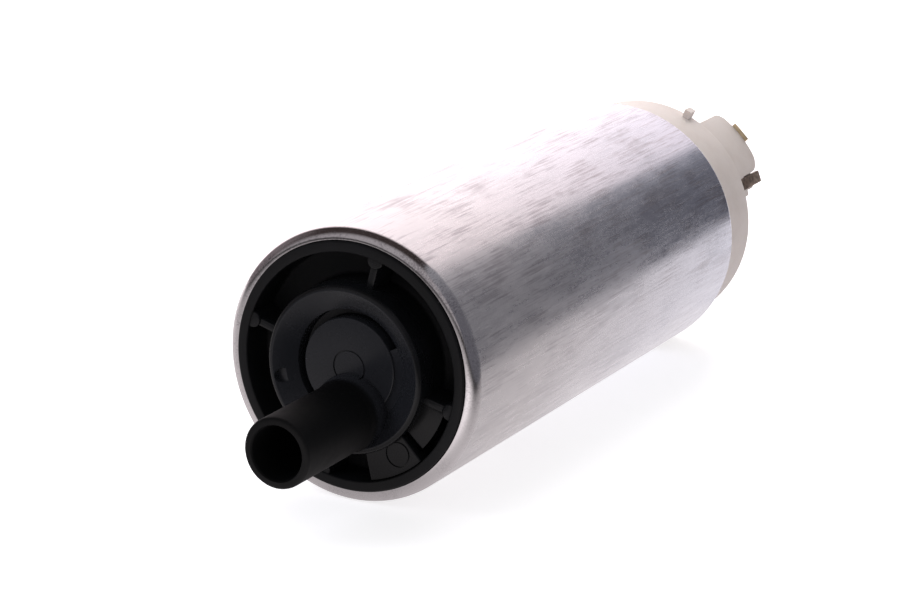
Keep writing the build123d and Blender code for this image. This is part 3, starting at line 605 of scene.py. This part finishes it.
# Inlet cover: rim, trough, hub with its dished ring and disc, webs, shelves and the spigot
cover = {
    "turns": 192,
    "edge": 0.2,
    "depth": station(coverHigh.y),
    "seat": 20.25, "grooveFloor": 18.3, "grooveFirst": 6.4, "grooveLast": 8.6,
    "shoulder": 1.25, "shoulderRound": 0.1,
    "rim": 19.48, "rimInner": 17.85, "rimTop": -0.5, "rimRound": 0.28,
    "troughFloor": 5.6, "troughRound": 0.6,
    "hub": 13.2, "hubTop": -2.2, "hubRound": 0.75, "crest": 12.3, "crestRound": 0.25,
    "dish": 9.0, "dishRound": 0.12, "disc": 7.7, "discTop": -0.3, "discRound": 0.22, "ringGroove": 2.5,
    # the pocket's side of the hub is a low wall without the dished ring
    "pocket": (-83, 27), "pocketOuter": 11.5, "pocketInset": 0.3, "pocketAbove": -5,
    "fillLap": 0.1, "fillStart": 3,
    "sunk": 0.02,             # no two joined faces lie in one plane
    "webs": (75, 163, 254, 345), "webWidth": 1.2, "webRound": 0.22, "webLap": 0.3, "webRoot": 0.5,
    "pad": 1.3, "padPlace": 17.65, "padTop": -0.3, "padRound": 0.25, "padRoot": 0.6, "padTurns": 40,
    # each shelf has its two angles, outer radius and top
    "shelves": ((-44, -18, 16.4, 0.8), (-79, -47, 17.7, 0.0)), "shelfRound": 0.3, "shelfRoot": 0.7,
    "bossMark": 2.05, "bossAngle": -57, "bossPlace": 14.95,
    "discMark": 2.75, "markWidth": 0.25, "markDepth": 0.2, "markTurns": 64,
    "ejector": 1.1, "ejectorAngle": 193, "ejectorPlace": 11.2, "ejectorFloor": -1.1, "ejectorAbove": -4,
    "spigot": mounts["inlet_spigot"]["dims"]["r_mm"], "bore": 4.2,
    "tip": station(coverLow.y), "tipRound": 0.55,
    "neckEnd": -4.1, "neckRound": 3.0, "flare": 6.0, "flareTop": -1.1, "flareRound": 1.0, "flareRoot": 1,
    "lead": 0.2, "leadDepth": 0.35, "leadEdge": 0.1, "leadRound": 0.3, "spigotTurns": 96,
}


def ringMark(centre, radius, top, size):
    # a thin ring cut into a face, where the mould's pins left their edge
    inner = radius - size.markWidth
    floor = top + size.markDepth
    return turned([(inner, top - over), (radius, top - over), (radius, floor), (inner, floor)],
                  size.markTurns, centre)


def makeCover():
    size = SimpleNamespace(**cover)
    base = turned([
        (0, size.depth), (size.seat, size.depth, size.edge), (size.seat, size.grooveLast),
        (size.grooveFloor, size.grooveLast), (size.grooveFloor, size.grooveFirst),
        (size.seat, size.grooveFirst), (size.seat, size.shoulder, size.shoulderRound),
        (size.rim, size.shoulder), (size.rim, size.rimTop, size.rimRound),
        (size.rimInner, size.rimTop, size.rimRound),
        (size.rimInner, size.troughFloor, size.troughRound),
        (size.hub, size.troughFloor, size.troughRound), (size.hub, size.hubTop, size.hubRound),
        (size.crest, size.hubTop, size.crestRound), (size.dish, 0, size.dishRound),
        (size.dish, size.ringGroove, size.edge), (size.disc, size.ringGroove, size.edge),
        (size.disc, size.discTop, size.discRound), (0, size.discTop),
    ], size.turns)
    base = combined(base, "DIFFERENCE", [
        sector(*size.pocket, size.disc + size.pocketInset, size.pocketOuter, size.pocketAbove, 0)])
    joined = [sector(*size.pocket, size.disc - size.fillLap, size.dish + size.fillLap,
                     size.fillStart, size.sunk)]
    padRoot = size.troughFloor + size.padRoot
    for angle in size.webs:
        joined.append(block(angle, size.crest, size.rimInner + size.webLap, 0,
                            size.troughFloor + size.webRoot, size.webWidth, size.webRound))
        joined.append(turned([
            (0, size.padTop), (size.pad, size.padTop, size.padRound), (size.pad, padRoot),
            (0, padRoot)], size.padTurns, around(angle, size.padPlace)))
    for first, last, outer, top in size.shelves:
        joined.append(sector(first, last, size.crest, outer, size.troughFloor + size.shelfRoot, top,
                             size.shelfRound, size.shelfRound))
    position = mounts["inlet_spigot"]["pos_m"]
    spigotCentre = (position[0] / mm, position[2] / mm)
    joined.append(turned([
        (0, size.tip), (size.spigot, size.tip, size.tipRound),
        (size.spigot, size.neckEnd, size.neckRound), (size.flare, size.flareTop, size.flareRound),
        (size.flare, size.flareRoot), (0, size.flareRoot)], size.spigotTurns, spigotCentre))
    base = combined(base, "UNION", joined)
    mouth = size.bore + size.lead
    bossSpot = around(size.bossAngle, size.bossPlace)
    cuts = [
        turned([(0, size.tip - over), (mouth, size.tip - over), (mouth, size.tip, size.leadEdge),
                (size.bore, size.tip + size.leadDepth, size.leadRound),
                (size.bore, size.depth + over), (0, size.depth + over)],
               size.spigotTurns, spigotCentre),
        ringMark((0, 0), size.discMark, size.discTop, size),
        ringMark(bossSpot, size.bossMark, 0, size),
        turned([(0, size.ejectorAbove), (size.ejector, size.ejectorAbove),
                (size.ejector, size.ejectorFloor), (0, size.ejectorFloor)],
               size.padTurns, around(size.ejectorAngle, size.ejectorPlace)),
    ]
    newPiece("inlet_moulding", combined(base, "DIFFERENCE", cuts), "inlet_cover", sharpAngle=30)


makeCover()

# Outlet nipple: a barbed tube in the cap's floor
nipple = {
    "start": station(nippleLow.y), "end": station(nippleHigh.y),
    "base": nippleHigh.x / mm, "baseEnd": 100.45, "baseRound": 0.35, "baseEdge": 0.2,
    "radius": mounts["outlet_nipple"]["dims"]["r_mm"], "neckRound": 0.3,
    "bore": 2.9, "boreEdge": 0.1, "tipEdge": 0.15, "tipRound": 0.2,
    "barbs": 3, "pitch": 2.6, "barbDepth": 0.45, "barbRound": 0.12,
    "turns": 96,
}


def makeNipple():
    size = SimpleNamespace(**nipple)
    low = size.radius - size.barbDepth
    corners = [
        (size.bore, size.start, size.boreEdge), (size.base, size.start, size.baseEdge),
        (size.base, size.baseEnd, size.baseRound), (size.radius, size.baseEnd, size.neckRound),
    ]
    for index in range(size.barbs):
        start = size.end - size.barbDepth - (size.barbs - index) * size.pitch
        corners += [(size.radius, start, size.barbRound), (low, start, size.barbRound),
                    (size.radius, start + size.pitch - size.barbDepth, size.barbRound)]
    corners += [(size.radius, size.end - size.barbDepth, size.tipRound),
                (low, size.end, size.tipRound), (size.bore, size.end, size.tipEdge)]
    newPiece("barbed_nipple", turned(corners, size.turns), "outlet_nipple")


makeNipple()

# Outlet cap: skirt, floor and collar, with two towers for the brushes and chokes
cap = {
    "turns": 192, "holeTurns": 64,
    "seat": cover["seat"], "edge": 0.2, "shoulder": 92.45,
    "skirtInner": 17.8, "skirtRound": 0.4, "skirtStart": 78.0,
    "grooveFloor": cover["grooveFloor"], "grooveFirst": 85.4, "grooveLast": 87.6,
    "floorStart": 90.95, "floorEnd": 96.45, "floorRound": 0.5,
    "collar": 19.85, "collarRound": 0.45, "collarInner": 17.5, "collarEdge": 0.35, "collarEnd": 104.4,
    "boss": 4.6, "bossRound": 0.3, "bossStart": 81.3, "bushing": 3.25, "bushingStart": 80, "bushingEnd": 87.8,
    "shaftRoom": 2.6, "seatHole": 1.8, "seatHoleDepth": 1.4,
    "sunk": 0.03,             # no two joined faces lie in one plane
    "ribs": (94, 164, 274, 344), "ribWidth": 1.2, "ribEnd": 100.45, "ribInner": 5.05, "ribLap": 0.3,
    "ribRoot": 0.5,
    "reliefAngle": 134, "reliefPlace": 10.6, "reliefBoss": 4.0, "reliefBore": 2.6, "reliefRound": 0.3,
    "reliefEdge": 0.4, "reliefStart": 84.45, "reliefEnd": 101.45,
    "windowReach": 6, "windowWidth": 3.0, "windowHeight": 2.4, "windowLap": 0.01,
    "tower": (24, 60), "towerInner": 12.45, "towerOuter": 19.35, "towerStart": 96,
    "towerEnd": station(capHigh.y), "lowRound": 3.0, "highRound": 1.6,
    "ledge": (14, 27), "ledgeStart": 96.2, "ledgeEnd": 106.4, "ledgeRound": 0.3,
    "bladeBack": (15.8, 27.5), "backOuter": 18.42, "backStart": 96.4, "backEnd": 111.2, "backRound": 1.2,
    "key": (64, 67.5), "keyOuter": 21.2, "keyStart": 102.4, "keyLap": 0.5, "keyRound": 0.3,
    "brushAngle": 45, "guideStart": 81.4, "guideInner": 6.95, "guideOuter": 12.05, "guideWidth": 4.5,
    "guideWall": 1.0, "guideLap": 0.8, "guideRound": 0.3, "guideCutStart": 79,
    "choke": 2.6, "chokePlace": 15.85, "chokeStart": 98.8, "chokeTurns": 48,
    "bladeAngle": 20.3, "bladePlace": 18.9, "bladeWidth": 2.05, "bladeThickness": 0.85, "footStart": 98.0,
    "bladeCutEnd": 112, "cutEnd": 120,
    "nippleFit": 0.05,
}


def makeCap():
    size = SimpleNamespace(**cap)
    body = turned([
        (0, size.bossStart), (size.boss, size.bossStart, size.bossRound),
        (size.boss, size.floorStart, size.bossRound),
        (size.skirtInner, size.floorStart, size.skirtRound), (size.skirtInner, size.skirtStart),
        (size.seat, size.skirtStart, size.edge), (size.seat, size.grooveFirst),
        (size.grooveFloor, size.grooveFirst), (size.grooveFloor, size.grooveLast),
        (size.seat, size.grooveLast), (size.seat, size.shoulder), (size.collar, size.shoulder),
        (size.collar, size.collarEnd, size.collarRound),
        (size.collarInner, size.collarEnd, size.collarEdge),
        (size.collarInner, size.floorEnd, size.floorRound), (0, size.floorEnd),
    ], size.turns)
    sunk = size.sunk
    joined = [block(angle, size.ribInner, size.collarInner + size.ribLap,
                    size.floorEnd - size.ribRoot, size.ribEnd, size.ribWidth) for angle in size.ribs]
    relief = around(size.reliefAngle, size.reliefPlace)
    joined.append(turned([
        (0, size.reliefStart), (size.reliefBoss, size.reliefStart, size.reliefRound),
        (size.reliefBoss, size.reliefEnd, size.reliefEdge), (0, size.reliefEnd)],
        size.holeTurns, relief))
    # each bar has its two angles, inner and outer radius, first and last station and two roundings
    bars = (
        (size.tower, size.towerInner, size.towerOuter, size.towerStart, size.towerEnd,
         size.lowRound, size.highRound),
        (size.ledge, size.towerInner + sunk, size.towerOuter - sunk, size.ledgeStart, size.ledgeEnd,
         size.ledgeRound, 0),
        (size.bladeBack, size.towerInner + 2 * sunk, size.backOuter, size.backStart, size.backEnd,
         size.backRound, 0),
        (size.key, size.collarInner + size.keyLap, size.keyOuter, size.keyStart,
         size.collarEnd - sunk, size.keyRound, size.keyRound),
    )
    for turn in halfTurns:
        for (first, last), *bar in bars:
            joined.append(sector(first + turn, last + turn, *bar))
        joined.append(block(size.brushAngle + turn, size.guideInner - size.guideWall,
                            size.towerInner + size.guideLap, size.guideStart, size.towerEnd - sunk,
                            size.guideWidth + 2 * size.guideWall, size.guideRound))
    body = combined(body, "UNION", joined)
    floorTop = size.floorEnd + over
    seatHoleStart = size.floorEnd - size.seatHoleDepth
    nippleHole = nipple["bore"] - size.nippleFit
    cuts = [
        turned([(0, size.bushingStart), (size.bushing, size.bushingStart),
                (size.bushing, size.bushingEnd), (size.shaftRoom, size.bushingEnd),
                (size.shaftRoom, seatHoleStart), (size.seatHole, seatHoleStart),
                (size.seatHole, floorTop), (0, floorTop)], size.holeTurns),
        turned([(nippleHole, nipple["start"]), (size.ribInner, nipple["start"]),
                (size.ribInner, floorTop), (nippleHole, floorTop)], size.holeTurns),
        turned([(0, size.reliefStart - over), (size.reliefBore, size.reliefStart - over),
                (size.reliefBore, size.reliefEnd + over), (0, size.reliefEnd + over)],
               size.holeTurns, relief),
        block(size.reliefAngle, -size.windowReach, size.windowReach, size.bushingEnd - size.windowLap,
              size.bushingEnd + size.windowHeight, size.windowWidth, 0),
    ]
    half = size.bladeThickness / 2
    for turn in halfTurns:
        angle = size.brushAngle + turn
        cuts.append(block(angle, size.guideInner, size.guideOuter, size.guideCutStart, size.cutEnd,
                          size.guideWidth, 0))
        cuts.append(turned([(0, size.chokeStart), (size.choke, size.chokeStart),
                            (size.choke, size.cutEnd), (0, size.cutEnd)],
                           size.chokeTurns, around(angle, size.chokePlace)))
        cuts.append(block(size.bladeAngle + turn, size.bladePlace - half, size.bladePlace + half,
                          size.footStart, size.bladeCutEnd, size.bladeWidth, 0))
    newPiece("outlet_moulding", combined(body, "DIFFERENCE", cuts), "outlet_cap", sharpAngle=30)


makeCap()

# Terminals: a stamped blade that rises from a foot under the choke
terminal = {
    "width": 2.0, "thickness": 0.8, "edge": 0.12, "angle": cap["bladeAngle"], "place": cap["bladePlace"],
    "start": station(bladeLow.y), "end": station(bladeHigh.y),
    "footThickness": 0.8, "footEdge": 0.1, "chokeAngle": cap["brushAngle"], "chokePlace": cap["chokePlace"],
}


def makeTerminal(name, nodeName, turn):
    size = SimpleNamespace(**terminal)
    half = size.thickness / 2
    blade = block(size.angle + turn, size.place - half, size.place + half, size.start, size.end,
                  size.width, size.edge)
    spot = Vector(around(size.angle + turn, size.place))
    reach = Vector(around(size.chokeAngle + turn, size.chokePlace)) - spot
    foot = block(0, 0, reach.length, size.start, size.start + size.footThickness, size.width,
                 size.footEdge)
    bmesh.ops.rotate(foot, cent=(0, 0, 0), matrix=Matrix.Rotation(-atan2(reach.y, reach.x), 3, "Y"),
                     verts=foot.verts)
    bmesh.ops.translate(foot, vec=(spot.x, 0, spot.y), verts=foot.verts)
    newPiece(name, combined(blade, "UNION", [foot]), nodeName)


makeTerminal("blade_positive", "terminal_positive", halfTurns[0])
makeTerminal("blade_negative", "terminal_negative", halfTurns[1])

# Brush clips: a brass strip across each tower's end, with a pressed rib down its middle
clip = {
    "width": 3.6, "thickness": 0.6, "inner": 6.45, "outer": 19.85, "edge": 0.12, "angle": cap["brushAngle"],
    "start": station(clipLow.y),
    "ribWidth": 1.0, "ribDepth": 0.25, "ribFromInner": 1.5, "ribFromOuter": 1.2, "ribEdge": 0.1,
}


def makeClip(name, nodeName, turn):
    size = SimpleNamespace(**clip)
    angle = size.angle + turn
    end = size.start + size.thickness
    strip = block(angle, size.inner, size.outer, size.start, end, size.width, size.edge)
    groove = block(angle, size.inner + size.ribFromInner, size.outer - size.ribFromOuter,
                   end - size.ribDepth, end + over, size.ribWidth, size.ribEdge)
    newPiece(name, combined(strip, "DIFFERENCE", [groove]), nodeName)


makeClip("clip_strip_1", "brush_clip_1", halfTurns[0])
makeClip("clip_strip_2", "brush_clip_2", halfTurns[1])


def makePressed(joint, pressed):
    # a spring or braid: a copy of its solid, made one mesh, that rides on its joint's parent
    nodeName = pressed["node"]
    bm = bmesh.new()
    bm.from_mesh(frame["nodes"][nodeName].data)
    bmesh.ops.remove_doubles(bm, verts=bm.verts, dist=tinyEdge * mm)
    name = nodeName.replace("spring", "coil").replace("shunt", "braid")
    piece = dressedPiece(name, bm, nodeName, joint["parent"], sharpAngle=40)
    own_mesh(piece)


for joint in frame["joints"]:
    for pressed in joint.get("deforming_nodes", []):
        makePressed(joint, pressed)

# Camera: at the angle of the photograph, with its place in metres and its lens in millimetres
view = {
    "place": (0.24216, -0.46521, 0.15175),
    "ahead": (-0.45476, 0.84513, -0.28094),
    "lens": 135,
    "sensor": 36,
}
cameraData = bpy.data.cameras.new("camera")
cameraData.lens = view["lens"]
cameraData.sensor_width = view["sensor"]
camera = bpy.data.objects.new("camera", cameraData)
bpy.context.scene.collection.objects.link(camera)
aim = Vector(view["ahead"]).to_track_quat("-Z", "Y").to_matrix()
camera.matrix_world = Matrix.Translation(view["place"]) @ aim.to_4x4()
bpy.context.scene.camera = camera
print("camera set")

# Studio: a pale floor and room whose mirror image on the metal is set apart from the light that they give
studio = {
    "floorColour": "#DAD8DC",
    "floorReach": 3,
    "floorGlow": 0.66,
    "floorMirror": 0.90,      # what shiny surfaces see of the floor at the place below
    "floorMirrorPlace": (0.017, 0.025),
    "floorMirrorSlope": (-6.5, 3.0),    # its change for each metre along X and Y
    "floorMirrorEven": 0.01,            # and the X to the left of which it stays
    "floorMirrorRange": (0.03, 1.6),
    # each has X, Y, reach and gain: in front of the cover, beside it, under the spigot and far in front. They
    # are painted pools of light in the floor's mirror image, and painted shadow where the gain is below
    # nought
    "floorPatches": ((0.02, -0.10, 0.055, 0.7), (0.09, -0.078, 0.05, -0.2), (0.0, -0.055, 0.03, -0.3),
                     (-0.05, -0.5, 0.28, 0.7)),
    "floorTone": "#FDF6F8",
    "ambient": 0.55,
    # the room that shiny surfaces see; a pair is where a tone starts and is full, along a direction's X or Y
    "backTone": "#FFF2F5",
    "backPlace": (0.30, 0.62),
    "backRight": 1.0,         # brightness of the back wall at its right and left
    "backLeft": 1.8,
    "backSides": (0.2, -0.55),
    "frontTone": "#352B2A",
    "leftTone": "#7C7376",
    "leftPlace": (-0.72, -0.95),
    "rearTone": "#A8A3A6",    # behind the camera: it lights the lip's edge and the views from behind
    "rearPlace": (-0.5, -0.8),
    # the card to the right of the barrel, in metres
    "cardDark": "#626168",
    "cardLight": "#A3A2A8",
    "cardDarkTo": 0.05,
    "cardSide": 0.097,
    "cardTop": 0.205,
    "cardNear": -0.30,
    "cardFar": 0.75,
}


def stagePlane(name, corners, material):
    bm = bmesh.new()
    bmesh.ops.contextual_create(bm, geom=[bm.verts.new(corner) for corner in corners])
    mesh = bpy.data.meshes.new(name)
    bm.to_mesh(mesh)
    bm.free()
    plane = bpy.data.objects.new(name, mesh)
    mesh.materials.append(material)
    bpy.context.scene.collection.objects.link(plane)
    return plane


def paperSweep():
    # matt white paper: the eye gets a soft shadow on it and no shine
    material, tree, shader, coords = newFinish("paperSweep", Roughness=0.9)
    shader.inputs["Base Color"].default_value = linear(studio["floorColour"])
    shader.inputs["Emission Color"].default_value = (1, 1, 1, 1)
    ray = addNode(tree, "LightPath")
    seen = addNode(tree, "Math", {"operation": "MULTIPLY", 1: studio["floorGlow"]},
                   {0: ray.outputs["Is Camera Ray"]})
    tree.links.new(seen.outputs["Value"], shader.inputs["Emission Strength"])
    spot = addNode(tree, "SeparateXYZ", links={"Vector": coords})
    # its mirror image is darker towards the card on the right, even on the left and brighter at the back
    rightwards = addNode(tree, "Math", {"operation": "MAXIMUM", 1: studio["floorMirrorEven"]},
                         {0: spot.outputs["X"]})
    strength = None
    sources = (rightwards.outputs["Value"], spot.outputs["Y"])
    for source, start, slope in zip(sources, studio["floorMirrorPlace"], studio["floorMirrorSlope"]):
        shift = addNode(tree, "Math", {"operation": "SUBTRACT", 1: start}, {0: source})
        step = addNode(tree, "Math", {
            "operation": "MULTIPLY_ADD", 1: slope, 2: studio["floorMirror"]}, {0: shift.outputs["Value"]})
        if strength is not None:
            tree.links.new(strength, step.inputs[2])
        strength = step.outputs["Value"]
    # painted pools of light and painted shadow in the mirror image of the floor
    for x, y, reach, gain in studio["floorPatches"]:
        apart = addNode(tree, "VectorMath", {"operation": "DISTANCE", 1: (x, y, floorLevel)},
                        {0: coords})
        patch = addNode(tree, "MapRange", {
            "interpolation_type": "SMOOTHSTEP", "From Max": 0.0, "From Min": reach, "To Max": gain},
            {"Value": apart.outputs["Value"]})
        strength = addNode(tree, "Math", {"operation": "ADD"},
                           {0: strength, 1: patch.outputs["Result"]}).outputs["Value"]
    least, most = studio["floorMirrorRange"]
    held = addNode(tree, "Clamp", {"Min": least, "Max": most}, {"Value": strength})
    mirror = addNode(tree, "Emission", {"Color": linear(studio["floorTone"])},
                     {"Strength": held.outputs["Result"]})
    mix = addNode(tree, "MixShader", links={
        0: ray.outputs["Is Glossy Ray"], 1: shader.outputs["BSDF"], 2: mirror.outputs["Emission"]})
    output = next(node for node in tree.nodes if node.type == "OUTPUT_MATERIAL")
    tree.links.new(mix.outputs["Shader"], output.inputs["Surface"])
    return material


def greyCard():
    # grey board, lighter towards its top edge: the eye gets it only as a reflection in the barrel's side
    material = bpy.data.materials.new("greyCard")
    material.use_nodes = True
    tree = material.node_tree
    tree.nodes.clear()
    coords = addNode(tree, "TexCoord").outputs["Object"]
    height = addNode(tree, "SeparateXYZ", links={"Vector": coords}).outputs["Z"]
    share = addNode(tree, "MapRange", {
        "From Min": studio["cardDarkTo"], "From Max": studio["cardTop"]}, {"Value": height})
    ramp = addNode(tree, "ValToRGB", links={"Fac": share.outputs["Result"]})
    tone = setRamp(ramp, [(0.0, studio["cardDark"]), (1.0, studio["cardLight"])])
    glow = addNode(tree, "Emission", {"Strength": 1.0}, {"Color": tone})
    addNode(tree, "OutputMaterial", links={"Surface": glow.outputs["Emission"]})
    return material


def makeStage():
    reach = studio["floorReach"]
    stagePlane("floor", [(x, y, floorLevel) for x, y in ((-reach, -reach), (reach, -reach), (reach, reach),
                                                         (-reach, reach))], paperSweep())
    side, near, far, top = [studio[key] for key in ("cardSide", "cardNear", "cardFar", "cardTop")]
    card = stagePlane("greyCard", [(side, near, floorLevel), (side, far, floorLevel), (side, far, top),
                                   (side, near, top)], greyCard())
    card.visible_camera = False
    card.visible_shadow = False
    card.visible_diffuse = False


makeStage()


def studioWorld():
    # white for the camera, even for soft light, and for shiny surfaces a bright back wall and a dark front
    world = bpy.data.worlds.new("studio")
    bpy.context.scene.world = world
    world.use_nodes = True
    sky = world.node_tree
    sky.nodes.clear()
    generated = addNode(sky, "TexCoord").outputs["Generated"]
    direction = addNode(sky, "SeparateXYZ", links={"Vector": generated})
    shares = {}
    for name, axis in (("backPlace", "Y"), ("backSides", "X"), ("leftPlace", "X"), ("rearPlace", "Y")):
        start, full = studio[name]
        share = addNode(sky, "MapRange", {"From Min": start, "From Max": full},
                        {"Value": direction.outputs[axis]})
        shares[name] = share
    shares["backSides"].inputs["To Min"].default_value = studio["backRight"]
    shares["backSides"].inputs["To Max"].default_value = studio["backLeft"]
    wall = addNode(sky, "VectorMath", {"operation": "SCALE", 0: linear(studio["backTone"])[:3]},
                   {"Scale": shares["backSides"].outputs["Result"]})
    near = addNode(sky, "Mix", {
        "data_type": "RGBA", 6: linear(studio["frontTone"]), 7: linear(studio["leftTone"])},
        {0: shares["leftPlace"].outputs["Result"]})
    behind = addNode(sky, "Mix", {"data_type": "RGBA", 7: linear(studio["rearTone"])},
                     {0: shares["rearPlace"].outputs["Result"], 6: near.outputs[2]})
    room = addNode(sky, "Mix", {"data_type": "RGBA"}, {
        0: shares["backPlace"].outputs["Result"], 6: behind.outputs[2], 7: wall.outputs["Vector"]})
    ray = addNode(sky, "LightPath")
    even = studio["ambient"]
    soft = addNode(sky, "Mix", {"data_type": "RGBA", 6: (even, even, even, 1)},
                   {0: ray.outputs["Is Glossy Ray"], 7: room.outputs[2]})
    seen = addNode(sky, "Mix", {"data_type": "RGBA", 7: (1, 1, 1, 1)},
                   {0: ray.outputs["Is Camera Ray"], 6: soft.outputs[2]})
    background = addNode(sky, "Background", {"Strength": 1.0}, {"Color": seen.outputs[2]})
    addNode(sky, "OutputWorld", links={"Surface": background.outputs["Background"]})


studioWorld()

# Lamps: two square softboxes that point at the pump's middle and aren't seen in its reflections
lamps = {
    "overheadSoftbox": {"place": (-0.25, 0.45, 0.55), "side": 0.6, "watts": 4.7, "colour": "#FFFDFB"},
    "fillSoftbox": {"place": (-0.5, -0.4, 0.5), "side": 0.4, "watts": 2, "colour": "#F4F6FF"},
}
for name, lamp in lamps.items():
    lampData = bpy.data.lights.new(name, "AREA")
    lampData.shape = "SQUARE"
    lampData.size = lamp["side"]
    lampData.energy = lamp["watts"]
    lampData.color = linear(lamp["colour"])[:3]
    softbox = bpy.data.objects.new(name, lampData)
    softbox.location = lamp["place"]
    softbox.rotation_euler = (-Vector(lamp["place"])).to_track_quat("-Z", "Y").to_euler()
    softbox.visible_glossy = False
    bpy.context.scene.collection.objects.link(softbox)
bpy.context.scene.view_settings.view_transform = "Standard"
print("studio set")
